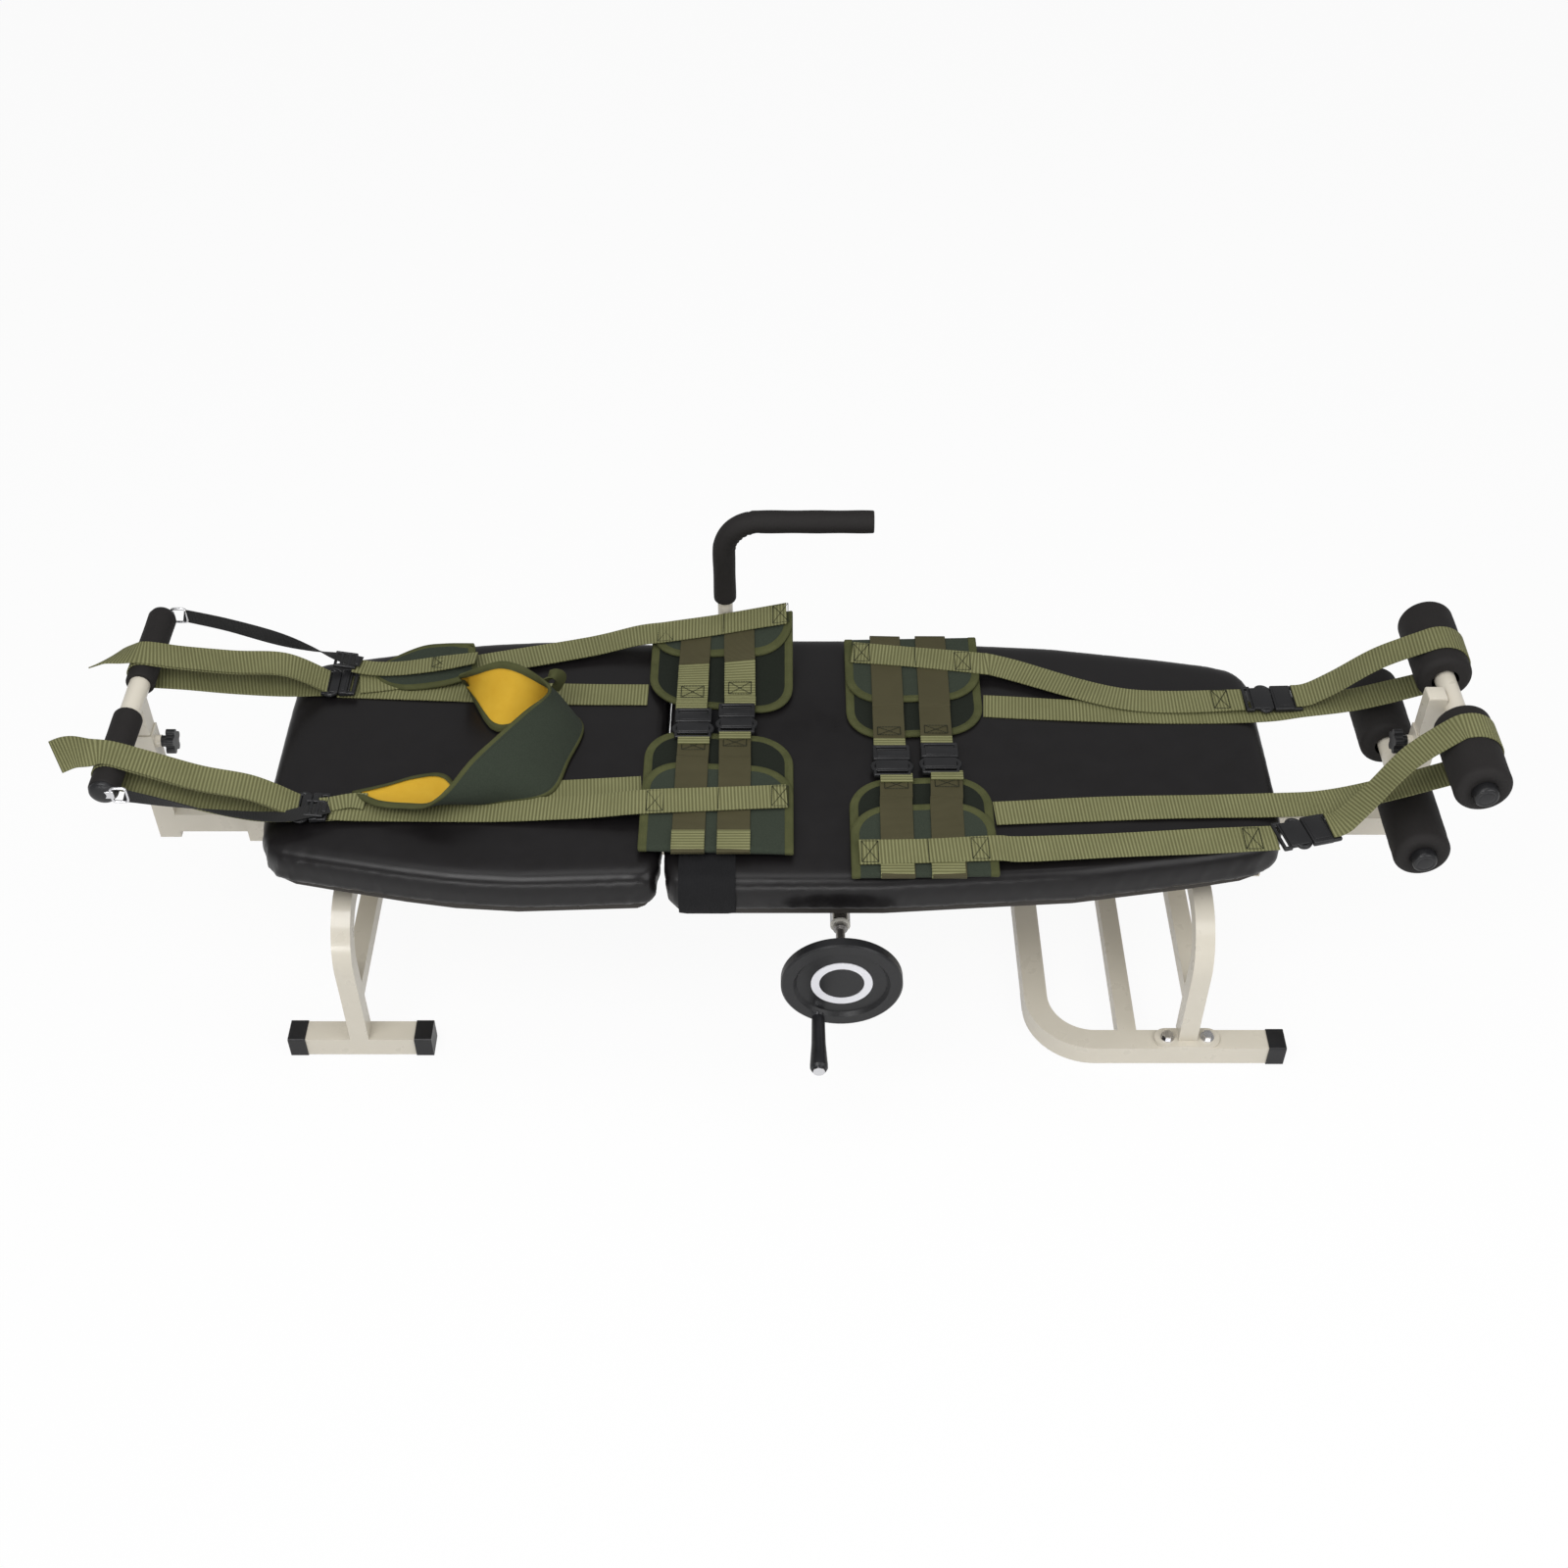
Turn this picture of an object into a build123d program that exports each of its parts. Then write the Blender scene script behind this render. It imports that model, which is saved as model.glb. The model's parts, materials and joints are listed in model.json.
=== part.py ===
from build123d import *
import os
from math import atan, cos, pi, radians, sin, tan

# A home traction bed. X runs along the bed with the head end at low X, Y runs across it with the
# handwheel side at low Y, and Z is up from the floor. The layout is drawn about the gap between the
# two cushions and is moved at the end so that the origin is under the middle of the whole bed.

# Heights above the floor
pad_thickness = 2.0
spine_bottom = 250.0
cushion_bottom = 360.0
cushion_thickness = 70.0

# Square and round tube stock
floor_tube = 38.0
leg_tube = 30.0
tube_wall = 2.0
rail_width = 30.0
rail_height = 50.0
rail_gap = 60.0
slide_rail = 38.0
post_tube = 34.0
post_slip = 0.4
cross_bar_radius = 16.0
corner_radius = 3.0

# Clearances and small common sizes
soft_gap = 0.3
wrap_gap = 0.8
buckle_gap = 0.7
running_gap = 0.05
slide_gap = 0.3
overrun = 5.0

# Spine and its two sections
spine_head_x = -720.0
spine_foot_x = 690.0
head_leg_x = -685.0
foot_leg_x = 650.0
head_stance = 253.0
foot_stance = 271.0
leg_set_in = 8.0
leg_bend = 85.0
brace_height = 118.0

# Floor bars and caps
head_bar_length = 232.0
base_cross_x = 414.0
base_end_x = 808.0
base_bend = 90.0
floor_brace_x = 556.0
cap_wall = 2.0
cap_depth = 28.0
plate_length = 105.0
plate_thickness = 5.0
bolt_spacing = 64.0
bolt_radius = 5.0
bolt_head_across = 17.0
bolt_head_height = 7.0
washer_radius = 11.0
washer_thickness = 2.0
hole_slack = 0.3

# Head rail, sleeve and post
head_post_x = -1000.0
head_rail_height = 281.0
sleeve_head_x = -868.0
sleeve_foot_x = -600.0
sleeve_wall = 3.0
insert_length = 30.0
insert_slip = 0.2
boss_x = -850.0
boss_radius = 12.0
boss_top = 326.0
post_bottom = 247.0
post_top = 470.0
inner_post_bottom = 300.0
head_bar_height = 531.0
head_bar_span = 404.0
bar_foam_radius = 22.0
bar_foam_inner = 38.0
bar_foam_end_gap = 4.0
hook_ring_radius = 12.0
hook_wire_radius = 2.5
hook_plate_thickness = 4.0

# Star knobs
knob_height = 446.0
knob_boss_radius = 10.0
knob_boss_length = 8.0
knob_screw_radius = 4.0
knob_radius = 20.0
knob_lobe_radius = 6.0
knob_lobes = 5
knob_stem_radius = 9.0
knob_stem_length = 8.0
knob_thickness = 14.0

# Foot rail, roller post and rollers
foot_rail_height = 273.0
foot_rail_start_x = 200.0
foot_post_x = 1001.0
lower_roller_height = 390.0
roller_rise = 139.0
roller_bar_span = 412.0
roller_radius = 43.0
roller_core_radius = 21.0
roller_inner = 48.0
roller_end_gap = 8.0
roller_round = 12.0
plug_radius = 17.0
plug_thickness = 5.0
saddle_depth = 2.0

# Cushions and boards
head_cushion_gap_x = -190.0
head_cushion_end_x = -800.0
head_cushion_half = 285.0
foot_cushion_gap_x = -178.0
foot_cushion_end_x = 765.0
foot_cushion_half = 288.0
board_thickness = 12.0
board_inset = 14.0
side_tuck = 7.0
side_roll = 26.0
crown = 6.0
beam_half = 165.0
beam_width = 30.0

# Slide of the foot section
shoe_length = 70.0
shoe_wall = 6.0
shoe_lip = 12.0
shoe_height = 12.0
front_beam_x = -130.0
rear_beam_x = 435.0
tail_beam_x = 725.0
slide_travel = 150.0

# Rack and pinion drive
shaft_x = 87.0
shaft_radius = 7.0
shaft_far_end = 62.0
gear_module = 2.5
pinion_teeth = 14
gear_width = 20.0
pressure_angle = 20.0
tooth_thinning = 0.35
root_clearance = 0.7
housing_radius = 15.5
housing_bore = 13.0
housing_end = 230.0
bush_wall = 4.0
bush_flange = 3.0
collar_radius = 11.0
collar_length = 8.0

# Handwheel, ring and crank grip
wheel_radius = 92.0
wheel_front = 354.0
wheel_depth = 16.0
wheel_rim = 24.0
wheel_dish = 6.0
wheel_web = 5.0
wheel_hub_radius = 18.0
ring_outer = 46.5
ring_inner = 34.0
ring_thickness = 1.5
crank_radius = 78.0
crank_angle = 243.5
crank_grip_length = 98.0
crank_grip_root = 10.0
crank_grip_end = 13.5
crank_pin_radius = 4.0
crank_cap_radius = 9.0
crank_cap_length = 4.0
crank_collar_length = 5.0

# Grab handle on the far side
handle_x = -98.0
handle_y = 306.0
handle_tube_radius = 12.5
handle_height = 642.0
handle_reach = 243.0
handle_bend = 58.0
handle_foam_radius = 18.5
handle_foam_drop = 158.0
socket_wall = 4.0
socket_bottom = 250.0
socket_top = 345.0
socket_floor = 5.0

# Felt pads, webbing and buckles
felt = 5.0
pad_round = 62.0
webbing_width = 50.0
webbing = 2.0
buckle_width = 58.0
buckle_length = 34.0
buckle_height = 10.0
adjuster_length = 34.0
adjuster_width = 60.0
adjuster_height = 6.0
black_strap_width = 27.0
black_strap = 2.0
belt_width = 85.0
belt_x = -157.0
belt_thickness = 2.0
chest_pad_x = -218.0
chest_pad_length = 232.0
pelvic_pad_x = 100.0
pelvic_pad_length = 218.0
halter_x = -330.0
halter_length = 345.0
halter_near = -150.0
halter_far = 215.0

# Heights and places that follow
cushion_top = cushion_bottom + cushion_thickness
bar_foam_outer = head_bar_span / 2 - bar_foam_end_gap
roller_outer = roller_bar_span / 2 - roller_end_gap
upper_roller_height = lower_roller_height + roller_rise
handle_foam_start = handle_height - handle_foam_drop
board_bottom = cushion_bottom - board_thickness
spine_top = spine_bottom + rail_height
rail_inner = rail_gap / 2
rail_outer = rail_inner + rail_width
floor_axis = pad_thickness + floor_tube / 2
floor_top = pad_thickness + floor_tube
leg_axis = spine_top - leg_tube / 2
beam_bottom = spine_top + shoe_height
pitch_radius = gear_module * pinion_teeth / 2
pad_bottom = cushion_top + belt_thickness + 2 * soft_gap
flap_top = pad_bottom + 2 * felt
lay_bottom = cushion_top + soft_gap
head_post_face = head_post_x + post_tube / 2
foot_post_face = foot_post_x - post_tube / 2
inner_post = post_tube - 2 * tube_wall - 2 * post_slip
upper_bar_x = foot_post_x + inner_post / 2 + cross_bar_radius - saddle_depth
lower_bar_x = foot_post_face - cross_bar_radius + saddle_depth
crank_x = shaft_x + crank_radius * cos(radians(crank_angle))
crank_z = foot_rail_height + crank_radius * sin(radians(crank_angle))

# Height of the fullest point of a cushion's side, as a share of its thickness
side_bulge_share = 0.42

# Each row is a station along a cushion from the gap: its distance as a share of the length, its
# half-width as a share of the widest, and its thickness as a share of the full thickness.
head_cushion_shares = (
    (0.0, 0.925, 0.62),
    (0.01, 0.955, 0.87),
    (0.03, 0.975, 1.0),
    (0.336, 1.0, 1.0),
    (0.5, 0.975, 1.0),
    (0.631, 0.93, 1.0),
    (0.836, 0.842, 1.0),
    (0.93, 0.8, 1.0),
    (0.965, 0.76, 0.97),
    (0.988, 0.68, 0.85),
    (1.0, 0.56, 0.62),
)
foot_cushion_shares = (
    (0.0, 0.95, 0.62),
    (0.007, 0.975, 0.87),
    (0.02, 1.0, 1.0),
    (0.343, 1.0, 1.0),
    (0.54, 0.955, 1.0),
    (0.656, 0.93, 1.0),
    (0.844, 0.833, 1.0),
    (0.94, 0.77, 1.0),
    (0.975, 0.72, 0.97),
    (0.992, 0.65, 0.85),
    (1.0, 0.56, 0.62),
)

# Tooth tips are cut back a little so that they never reach the opposite root
gear_tip_relief = 0.4
flank_steps = 6

# Places across the bed of each pad's fold, tongue tip and flap tip, as shares of the cushion's half-width
chest_far_shares = (0.975, 0.3, 0.68)
chest_near_shares = (-0.81, 0.09, -0.17)
pelvic_far_shares = (0.89, 0.085, 0.35)
pelvic_near_shares = (-0.975, -0.25, -0.47)

# Cross belts: the place of each belt's centre as a share of its pad's length, and the buckle's
# place across the bed as a share of the cushion's half-width
chest_belt_shares = ((0.32, 0.15), (0.615, 0.19))
pelvic_belt_shares = ((0.31, -0.14), (0.655, -0.12))

# Chest straps. Each row: distance from the adjuster to the head bar as a share, place across the
# bed as a share of the head bar's half span, and height as a share of the way from the cushion's top
# to the head bar.
chest_run_shares = {
    "far": ((0.0, 0.72, 0.14), (0.28, 0.7, 0.25), (0.55, 0.6, 0.48), (0.8, 0.48, 0.78)),
    "near": ((0.0, -0.69, 0.14), (0.28, -0.7, 0.25), (0.55, -0.71, 0.48), (0.8, -0.71, 0.78)),
}
chest_bar_shares = {"far": 0.41, "near": -0.71}

# The lower run from the adjuster back to the pad: share of the way, share of the half span
chest_lie_shares = {
    "far": ((0.06, 0.71), (0.35, 0.67), (0.7, 0.63), (1.0, 0.62)),
    "near": ((0.06, -0.68), (0.35, -0.6), (0.7, -0.5), (1.0, -0.44)),
}

# The upper run from the adjuster to the stitched end on the pad: share of the way, share of the
# half span, and height above the cushion as a share of the pad's height
chest_top_shares = {
    "far": (
        (0.04, 0.73, 0.18), (0.3, 0.9, 0.18), (0.55, 1.15, 0.2), (0.69, 1.27, 1.0), (1.0, 1.3, 1.0)
    ),
    "near": (
        (0.04, -0.69, 0.8), (0.3, -0.69, 0.82), (0.55, -0.69, 0.8), (0.7, -0.68, 1.0), (1.0, -0.62, 1.0)
    ),
}
tail_shares = {"far": (0.3, -0.6), "near": (0.28, 0.62)}
adjuster_x = -722.0

# The webbing meets the head bar's foam rising at this angle and leaves it at that one, in degrees
wrap_from = 66.0
wrap_to = 252.0
wrap_steps = 20
back_drop_share = 0.9

# Pelvic straps. Rows of the upper run: share of the way from the pad's foot edge to the upper
# roller bar, place across the bed as a share of the cushion's half-width, and height as a share of
# the pad's height. Then the rise to the roller: height as a share of the way up to the roller's top.
pelvic_top_shares = {
    "far": (
        (-0.29, 0.745, 1.0), (0.0, 0.65, 1.0), (0.06, 0.63, 0.5), (0.33, 0.375, 0.4), (0.59, 0.36, 0.6)
    ),
    "near": (
        (-0.29, -0.83, 1.0),
        (0.0, -0.8, 1.0),
        (0.06, -0.79, 0.5),
        (0.33, -0.74, 0.4),
        (0.59, -0.71, 0.6),
    ),
}
pelvic_rise_shares = {
    "far": ((0.72, 0.37, 0.1), (0.79, 0.37, 0.3), (0.87, 0.36, 0.67)),
    "near": ((0.72, -0.63, 0.1), (0.79, -0.54, 0.3), (0.87, -0.43, 0.67)),
}
pelvic_lie_shares = {
    "far": (
        (0.85, 0.34, 0.32), (0.72, 0.32, 0.08), (0.6, 0.29, 0.0), (0.3, 0.29, 0.0), (0.004, 0.34, 0.0)
    ),
    "near": (
        (0.85, -0.38, 0.32),
        (0.72, -0.43, 0.08),
        (0.6, -0.44, 0.0),
        (0.3, -0.46, 0.0),
        (0.004, -0.5, 0.0),
    ),
}
roller_wrap_share = 0.35
roller_wrap_from = 122.0
roller_wrap_to = -74.0

# Outline of the halter on the head cushion, seen from above: share of its length from the foot end,
# share of its width from the near side
halter_outline_shares = (
    (1.0, 0.02),
    (0.6, 0.0),
    (0.12, 0.07),
    (0.0, 0.3),
    (0.0, 0.58),
    (0.22, 0.9),
    (0.55, 1.0),
    (1.0, 0.985),
    (1.0, 0.87),
    (0.58, 0.82),
    (0.4, 0.68),
    (0.33, 0.45),
    (0.45, 0.24),
    (0.64, 0.14),
    (1.0, 0.13),
)

# Runs of the halter's straps: share of the way from the halter to the hook, share of the bar's
# half span, height as a share of the way up to the hook
halter_strap_shares = {
    "near": (
        (0.0, -0.75, 0.0),
        (0.09, -0.97, 0.02),
        (0.35, -0.99, 0.12),
        (0.65, -1.01, 0.4),
        (1.0, -1.03, 0.97),
    ),
    "far": (
        (0.0, 0.97, 0.0), (0.1, 0.98, 0.04), (0.35, 0.99, 0.28), (0.65, 1.01, 0.6), (1.0, 1.03, 0.97)
    ),
}

nodes = {}


def add(name, *solids):
    """Keep the solids of one named node."""
    nodes.setdefault(name, []).extend(solids)


def block(x_low, x_high, y_low, y_high, z_low, z_high):
    """A box between two corners."""
    middle = Pos((x_low + x_high) / 2, (y_low + y_high) / 2, (z_low + z_high) / 2)
    return middle * Box(x_high - x_low, y_high - y_low, z_high - z_low)


def rod(start, end, radius):
    """A round bar between two points."""
    first = Vector(*start)
    along = Vector(*end) - first
    return Solid.make_cylinder(radius, along.length, Plane(origin=first, z_dir=along.normalized()))


def pipe(start, end, radius, bore):
    """A round tube between two points."""
    first = Vector(*start)
    along = (Vector(*end) - first).normalized() * overrun
    return rod(start, end, radius) - rod(first - along, Vector(*end) + along, bore)


def box_tube(x_low, x_high, y_low, y_high, z_low, z_high, axis, wall=tube_wall):
    """A rectangular tube with its bore along the named axis."""
    grow = [-wall] * 3
    grow["XYZ".index(axis)] = overrun
    bore = block(
        x_low - grow[0],
        x_high + grow[0],
        y_low - grow[1],
        y_high + grow[1],
        z_low - grow[2],
        z_high + grow[2],
    )
    return block(x_low, x_high, y_low, y_high, z_low, z_high) - bore


def swept_square(path, side, across):
    """A square tube along a path whose first run is along Z or X."""
    start = Plane(origin=path @ 0, x_dir=across, z_dir=path % 0)
    outer = sweep(start * Rectangle(side, side), path=path)
    inner = sweep(start * Rectangle(side - 2 * tube_wall, side - 2 * tube_wall), path=path)
    return outer - inner


def far_side(solid):
    """The mirrored twin of a near-side solid."""
    return mirror(solid, about=Plane.XZ)


def hex_bolt(x, y, seat, length, nut_seat=None):
    """A hex bolt with its washer, head up, and a nut under the clamped parts if there is one."""
    body = rod((x, y, seat), (x, y, seat + washer_thickness), washer_radius)
    head_low = seat + washer_thickness
    head = extrude(Pos(x, y, head_low) * RegularPolygon(bolt_head_across / 2, 6), bolt_head_height)
    body += head
    body += rod((x, y, seat - length), (x, y, head_low), bolt_radius)
    if nut_seat is not None:
        nut = extrude(
            Pos(x, y, nut_seat - bolt_head_height) * RegularPolygon(bolt_head_across / 2, 6),
            bolt_head_height,
        )
        body += nut
    return body


def end_cap(x_end, y, outward):
    """A square cap over a floor tube whose end faces along X."""
    mouth = x_end - outward * cap_depth
    half = floor_tube / 2 + cap_wall
    low, high = sorted((mouth, x_end))
    cap = block(low, high, y - half, y + half, 0, 2 * half)
    cap = fillet(cap.edges().filter_by(Axis.X), corner_radius)
    inside = x_end - outward * cap_wall * 3 / 2
    low, high = sorted((mouth - outward * overrun, inside))
    tube = floor_tube / 2
    return cap - block(low, high, y - tube, y + tube, pad_thickness, floor_top)


def build_head_frame():
    """Spine rails, the head legs on their floor bars, and the braces."""
    for name, side in (("near", -1), ("far", 1)):
        low, high = sorted((side * rail_inner, side * rail_outer))
        rail = box_tube(spine_head_x, spine_foot_x, low, high, spine_bottom, spine_top, "X")
        rail -= rod(
            (shaft_x, low - overrun, foot_rail_height),
            (shaft_x, high + overrun, foot_rail_height),
            shaft_radius + bush_wall,
        )
        add("spine_rails", rail)
    cap_floor = cap_wall * 3 / 2
    tube_half = head_bar_length / 2 - cap_floor
    y_leg = -(head_stance + leg_set_in / 2)
    leg_path = FilletPolyline(
        (head_leg_x, y_leg, floor_top),
        (head_leg_x, y_leg, leg_axis),
        (head_leg_x, -rail_outer, leg_axis),
        radius=leg_bend,
    )
    leg = swept_square(leg_path, leg_tube, (1, 0, 0))
    add("head_legs", leg, far_side(leg))
    tube = floor_tube / 2
    bar = box_tube(
        head_leg_x - tube_half,
        head_leg_x + tube_half,
        -head_stance - tube,
        -head_stance + tube,
        pad_thickness,
        floor_top,
        "X",
    )
    add("head_floor_bars", bar, far_side(bar))
    for x, stance in (
        (head_leg_x, head_stance + leg_set_in / 2), (foot_leg_x, foot_stance - leg_set_in)
    ):
        reach = stance - leg_tube / 2
        half = leg_tube / 2
        add(
            "leg_braces",
            box_tube(x - half, x + half, -reach, reach, brace_height, brace_height + leg_tube, "Y"),
        )
    for end in (-1, 1):
        cap = end_cap(head_leg_x + end * head_bar_length / 2, -head_stance, end)
        add("floor_caps", cap, far_side(cap))


def build_foot_frame():
    """The foot legs on their plates and the U-shaped base."""
    cap_floor = cap_wall * 3 / 2
    path = FilletPolyline(
        (base_end_x - cap_floor, -foot_stance, floor_axis),
        (base_cross_x, -foot_stance, floor_axis),
        (base_cross_x, foot_stance, floor_axis),
        (base_end_x - cap_floor, foot_stance, floor_axis),
        radius=base_bend,
    )
    base = swept_square(path, floor_tube, (0, 1, 0))
    y_leg = -(foot_stance - leg_set_in)
    bolts = [foot_leg_x + end * bolt_spacing / 2 for end in (-1, 1)]
    for x in bolts:
        for side in (-1, 1):
            base -= rod(
                (x, side * foot_stance, floor_axis),
                (x, side * foot_stance, floor_top + overrun),
                bolt_radius + hole_slack,
            )
    inner = foot_stance - floor_tube / 2
    half = leg_tube / 2
    brace = box_tube(
        floor_brace_x - half, floor_brace_x + half, -inner, inner, floor_top - leg_tube, floor_top, "Y"
    )
    add("foot_base", base, brace)
    plate_top = floor_top + plate_thickness
    plate = extrude(
        Pos(foot_leg_x, -foot_stance, floor_top) * SlotOverall(
            plate_length, floor_tube
        ), plate_thickness
    )
    for x in bolts:
        plate -= rod(
            (x, -foot_stance, floor_top - overrun),
            (x, -foot_stance, plate_top + overrun),
            bolt_radius + hole_slack,
        )
        bolt = hex_bolt(
            x, -foot_stance, plate_top, leg_tube / 2 + plate_thickness, floor_top - tube_wall
        )
        add("hex_bolts", bolt, far_side(bolt))
    leg_path = FilletPolyline(
        (foot_leg_x, y_leg, plate_top),
        (foot_leg_x, y_leg, leg_axis),
        (foot_leg_x, -rail_outer, leg_axis),
        radius=leg_bend,
    )
    leg = swept_square(leg_path, leg_tube, (1, 0, 0))
    add("foot_legs", leg, far_side(leg), plate, far_side(plate))
    cap = end_cap(base_end_x, -foot_stance, 1)
    add("floor_caps", cap, far_side(cap))
    pad = block(
        base_cross_x - floor_tube / 2,
        base_cross_x + floor_tube / 2,
        -foot_stance + base_bend,
        -foot_stance + base_bend + floor_tube,
        0,
        pad_thickness,
    )
    add("floor_caps", pad, far_side(pad))


def build_head_rail():
    """The sleeve at the end of the spine, the rail in it and the post socket it carries."""
    low = head_rail_height - rail_inner
    high = head_rail_height + rail_inner
    sleeve = box_tube(
        sleeve_head_x, sleeve_foot_x, -rail_inner, rail_inner, low, high, "X", sleeve_wall
    )
    boss = rod((boss_x, 0, high), (boss_x, 0, boss_top), boss_radius)
    hole = rod(
        (boss_x, 0, high - 2 * sleeve_wall), (boss_x, 0, boss_top + overrun), bolt_radius + hole_slack
    )
    add("head_rail_sleeve", (sleeve + boss) - hole)
    half = slide_rail / 2
    rail_top = head_rail_height + half
    add("hex_bolts", hex_bolt(boss_x, 0, boss_top, boss_top - rail_top))
    rail = box_tube(
        head_post_face, sleeve_foot_x, -half, half, head_rail_height - half, rail_top, "X"
    )
    add("head_rail", rail)
    outer = rail_inner - sleeve_wall
    bore = half + insert_slip
    starts = (boss_x + 2 * boss_radius, sleeve_foot_x - insert_length - overrun)
    for start in starts:
        insert = block(
            start, start + insert_length, -outer, outer, head_rail_height - outer, head_rail_height + outer
        )
        insert -= block(
            start - overrun,
            start + insert_length + overrun,
            -bore,
            bore,
            head_rail_height - bore,
            head_rail_height + bore,
        )
        add("rail_inserts", insert)
    guide = block(
        spine_foot_x - 2 * insert_length, spine_foot_x, -rail_inner, rail_inner, spine_bottom, spine_top
    )
    guide -= block(
        spine_foot_x - 2 * insert_length - overrun,
        spine_foot_x + overrun,
        -half - slide_gap,
        half + slide_gap,
        foot_rail_height - half - slide_gap,
        spine_top + overrun,
    )
    add("rail_inserts", guide)


def post_socket(x, face_side):
    """A square post socket with its foot closed and a threaded boss for the knob."""
    half = post_tube / 2
    socket = box_tube(x - half, x + half, -half, half, post_bottom, post_top, "Z")
    socket += block(x - half, x + half, -half, half, post_bottom, post_bottom + tube_wall)
    face = x + face_side * half
    socket += rod(
        (face, 0, knob_height), (face + face_side * knob_boss_length, 0, knob_height), knob_boss_radius
    )
    socket -= rod(
        (x, 0, knob_height),
        (face + face_side * (knob_boss_length + overrun), 0, knob_height),
        knob_screw_radius + running_gap,
    )
    return socket


def star_knob(x, face_side):
    """A star knob on its clamp screw, along X."""
    tip = x + face_side * (inner_post / 2 + post_slip / 2)
    seat = x + face_side * (post_tube / 2 + knob_boss_length + slide_gap)
    stem_end = seat + face_side * knob_stem_length
    back = stem_end + face_side * knob_thickness
    z = knob_height
    knob = rod((tip, 0, z), (stem_end, 0, z), knob_screw_radius)
    knob += rod((seat, 0, z), (stem_end, 0, z), knob_stem_radius)
    disc = rod((stem_end, 0, z), (back, 0, z), knob_radius - knob_lobe_radius)
    for turn in range(knob_lobes):
        angle = 2 * pi * turn / knob_lobes
        y = (knob_radius - knob_lobe_radius) * cos(angle)
        lobe_z = z + (knob_radius - knob_lobe_radius) * sin(angle)
        disc += rod((stem_end, y, lobe_z), (back, y, lobe_z), knob_lobe_radius)
    return knob + disc


def inner_tube_post(x, top):
    """The square post that slides in a socket."""
    half = inner_post / 2
    return box_tube(x - half, x + half, -half, half, inner_post_bottom, top, "Z")


def build_head_bar():
    """Socket, sliding T-bar with foam sleeves and hooks, and the star knob."""
    add("head_post_socket", post_socket(head_post_x, 1))
    half_span = head_bar_span / 2
    bar = rod(
        (head_post_x, -half_span, head_bar_height),
        (head_post_x, half_span, head_bar_height),
        cross_bar_radius,
    )
    bore = rod(
        (head_post_x, -half_span - overrun, head_bar_height),
        (head_post_x, half_span + overrun, head_bar_height),
        cross_bar_radius - tube_wall,
    )
    tee = (inner_tube_post(head_post_x, head_bar_height) + bar) - bore
    add("head_bar", tee)
    foam = pipe(
        (head_post_x, -bar_foam_inner, head_bar_height),
        (head_post_x, -bar_foam_outer, head_bar_height),
        bar_foam_radius,
        cross_bar_radius + running_gap,
    )
    foam = fillet(foam.edges().filter_by(GeomType.CIRCLE).sort_by(SortBy.RADIUS)[-2:], corner_radius)
    add("head_bar_foams", foam, far_side(foam))
    plate = rod(
        (head_post_x, -half_span, head_bar_height),
        (head_post_x, -half_span - hook_plate_thickness, head_bar_height),
        cross_bar_radius,
    )
    ring_x = head_post_x + cross_bar_radius
    ring_y = -half_span - hook_wire_radius
    ring = Pos(ring_x + hook_ring_radius / 2, ring_y, head_bar_height) * Rot(X=90) * Torus(
        hook_ring_radius, hook_wire_radius
    )
    hook = plate + ring
    add("head_bar_hooks", hook, far_side(hook))
    add("head_lock_knob", star_knob(head_post_x, 1))


def section_wire(x, half_width, low, high, offset=0.0):
    """The cross-section of a stuffed cushion in a plane square to X."""
    rise = high - low
    tuck = side_tuck
    roll = side_roll
    sag = crown * rise / cushion_thickness
    wide = half_width + offset
    foot_y = half_width - tuck + offset
    edge_y = half_width - roll + offset
    middle = (x, wide, low + rise * side_bulge_share)
    low_near = (x, -foot_y, low)
    low_far = (x, foot_y, low)
    edge_far = (x, edge_y, high - sag + offset)
    edge_near = (x, -edge_y, high - sag + offset)
    return Wire(
        [
            Line(low_near, low_far).edge(),
            ThreePointArc(low_far, middle, edge_far).edge(),
            ThreePointArc(edge_far, (x, 0, high + offset), edge_near).edge(),
            ThreePointArc(edge_near, (x, -wide, low + rise * side_bulge_share), low_near).edge(),
        ]
    )


def cushion(start_x, end_x, half_width, shares):
    """A crowned cushion lofted along X, with drawn-in lower sides and rounded ends."""
    wires = []
    for along, wide, thick in shares:
        x = start_x + (end_x - start_x) * along
        low = cushion_bottom + (1 - thick) * cushion_thickness * side_bulge_share
        high = low + thick * cushion_thickness
        wires.append(section_wire(x, half_width * wide, low, high))
    if end_x < start_x:
        wires.reverse()
    return Solid.make_loft(wires, True)


def board(start_x, end_x, half_width, shares):
    """The flat board under a cushion, set in from its edge."""
    step = board_inset if end_x > start_x else -board_inset
    near = []
    for along, wide, thick in shares:
        x = start_x + step + (end_x - start_x - 2 * step) * along
        near.append((x, -(half_width * wide - board_inset)))
    far = [(x, -y) for x, y in reversed(near)]
    outline = make_face(Polyline(*near, *far, close=True))
    return Pos(0, 0, board_bottom) * extrude(outline, board_thickness, dir=(0, 0, 1))


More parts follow.
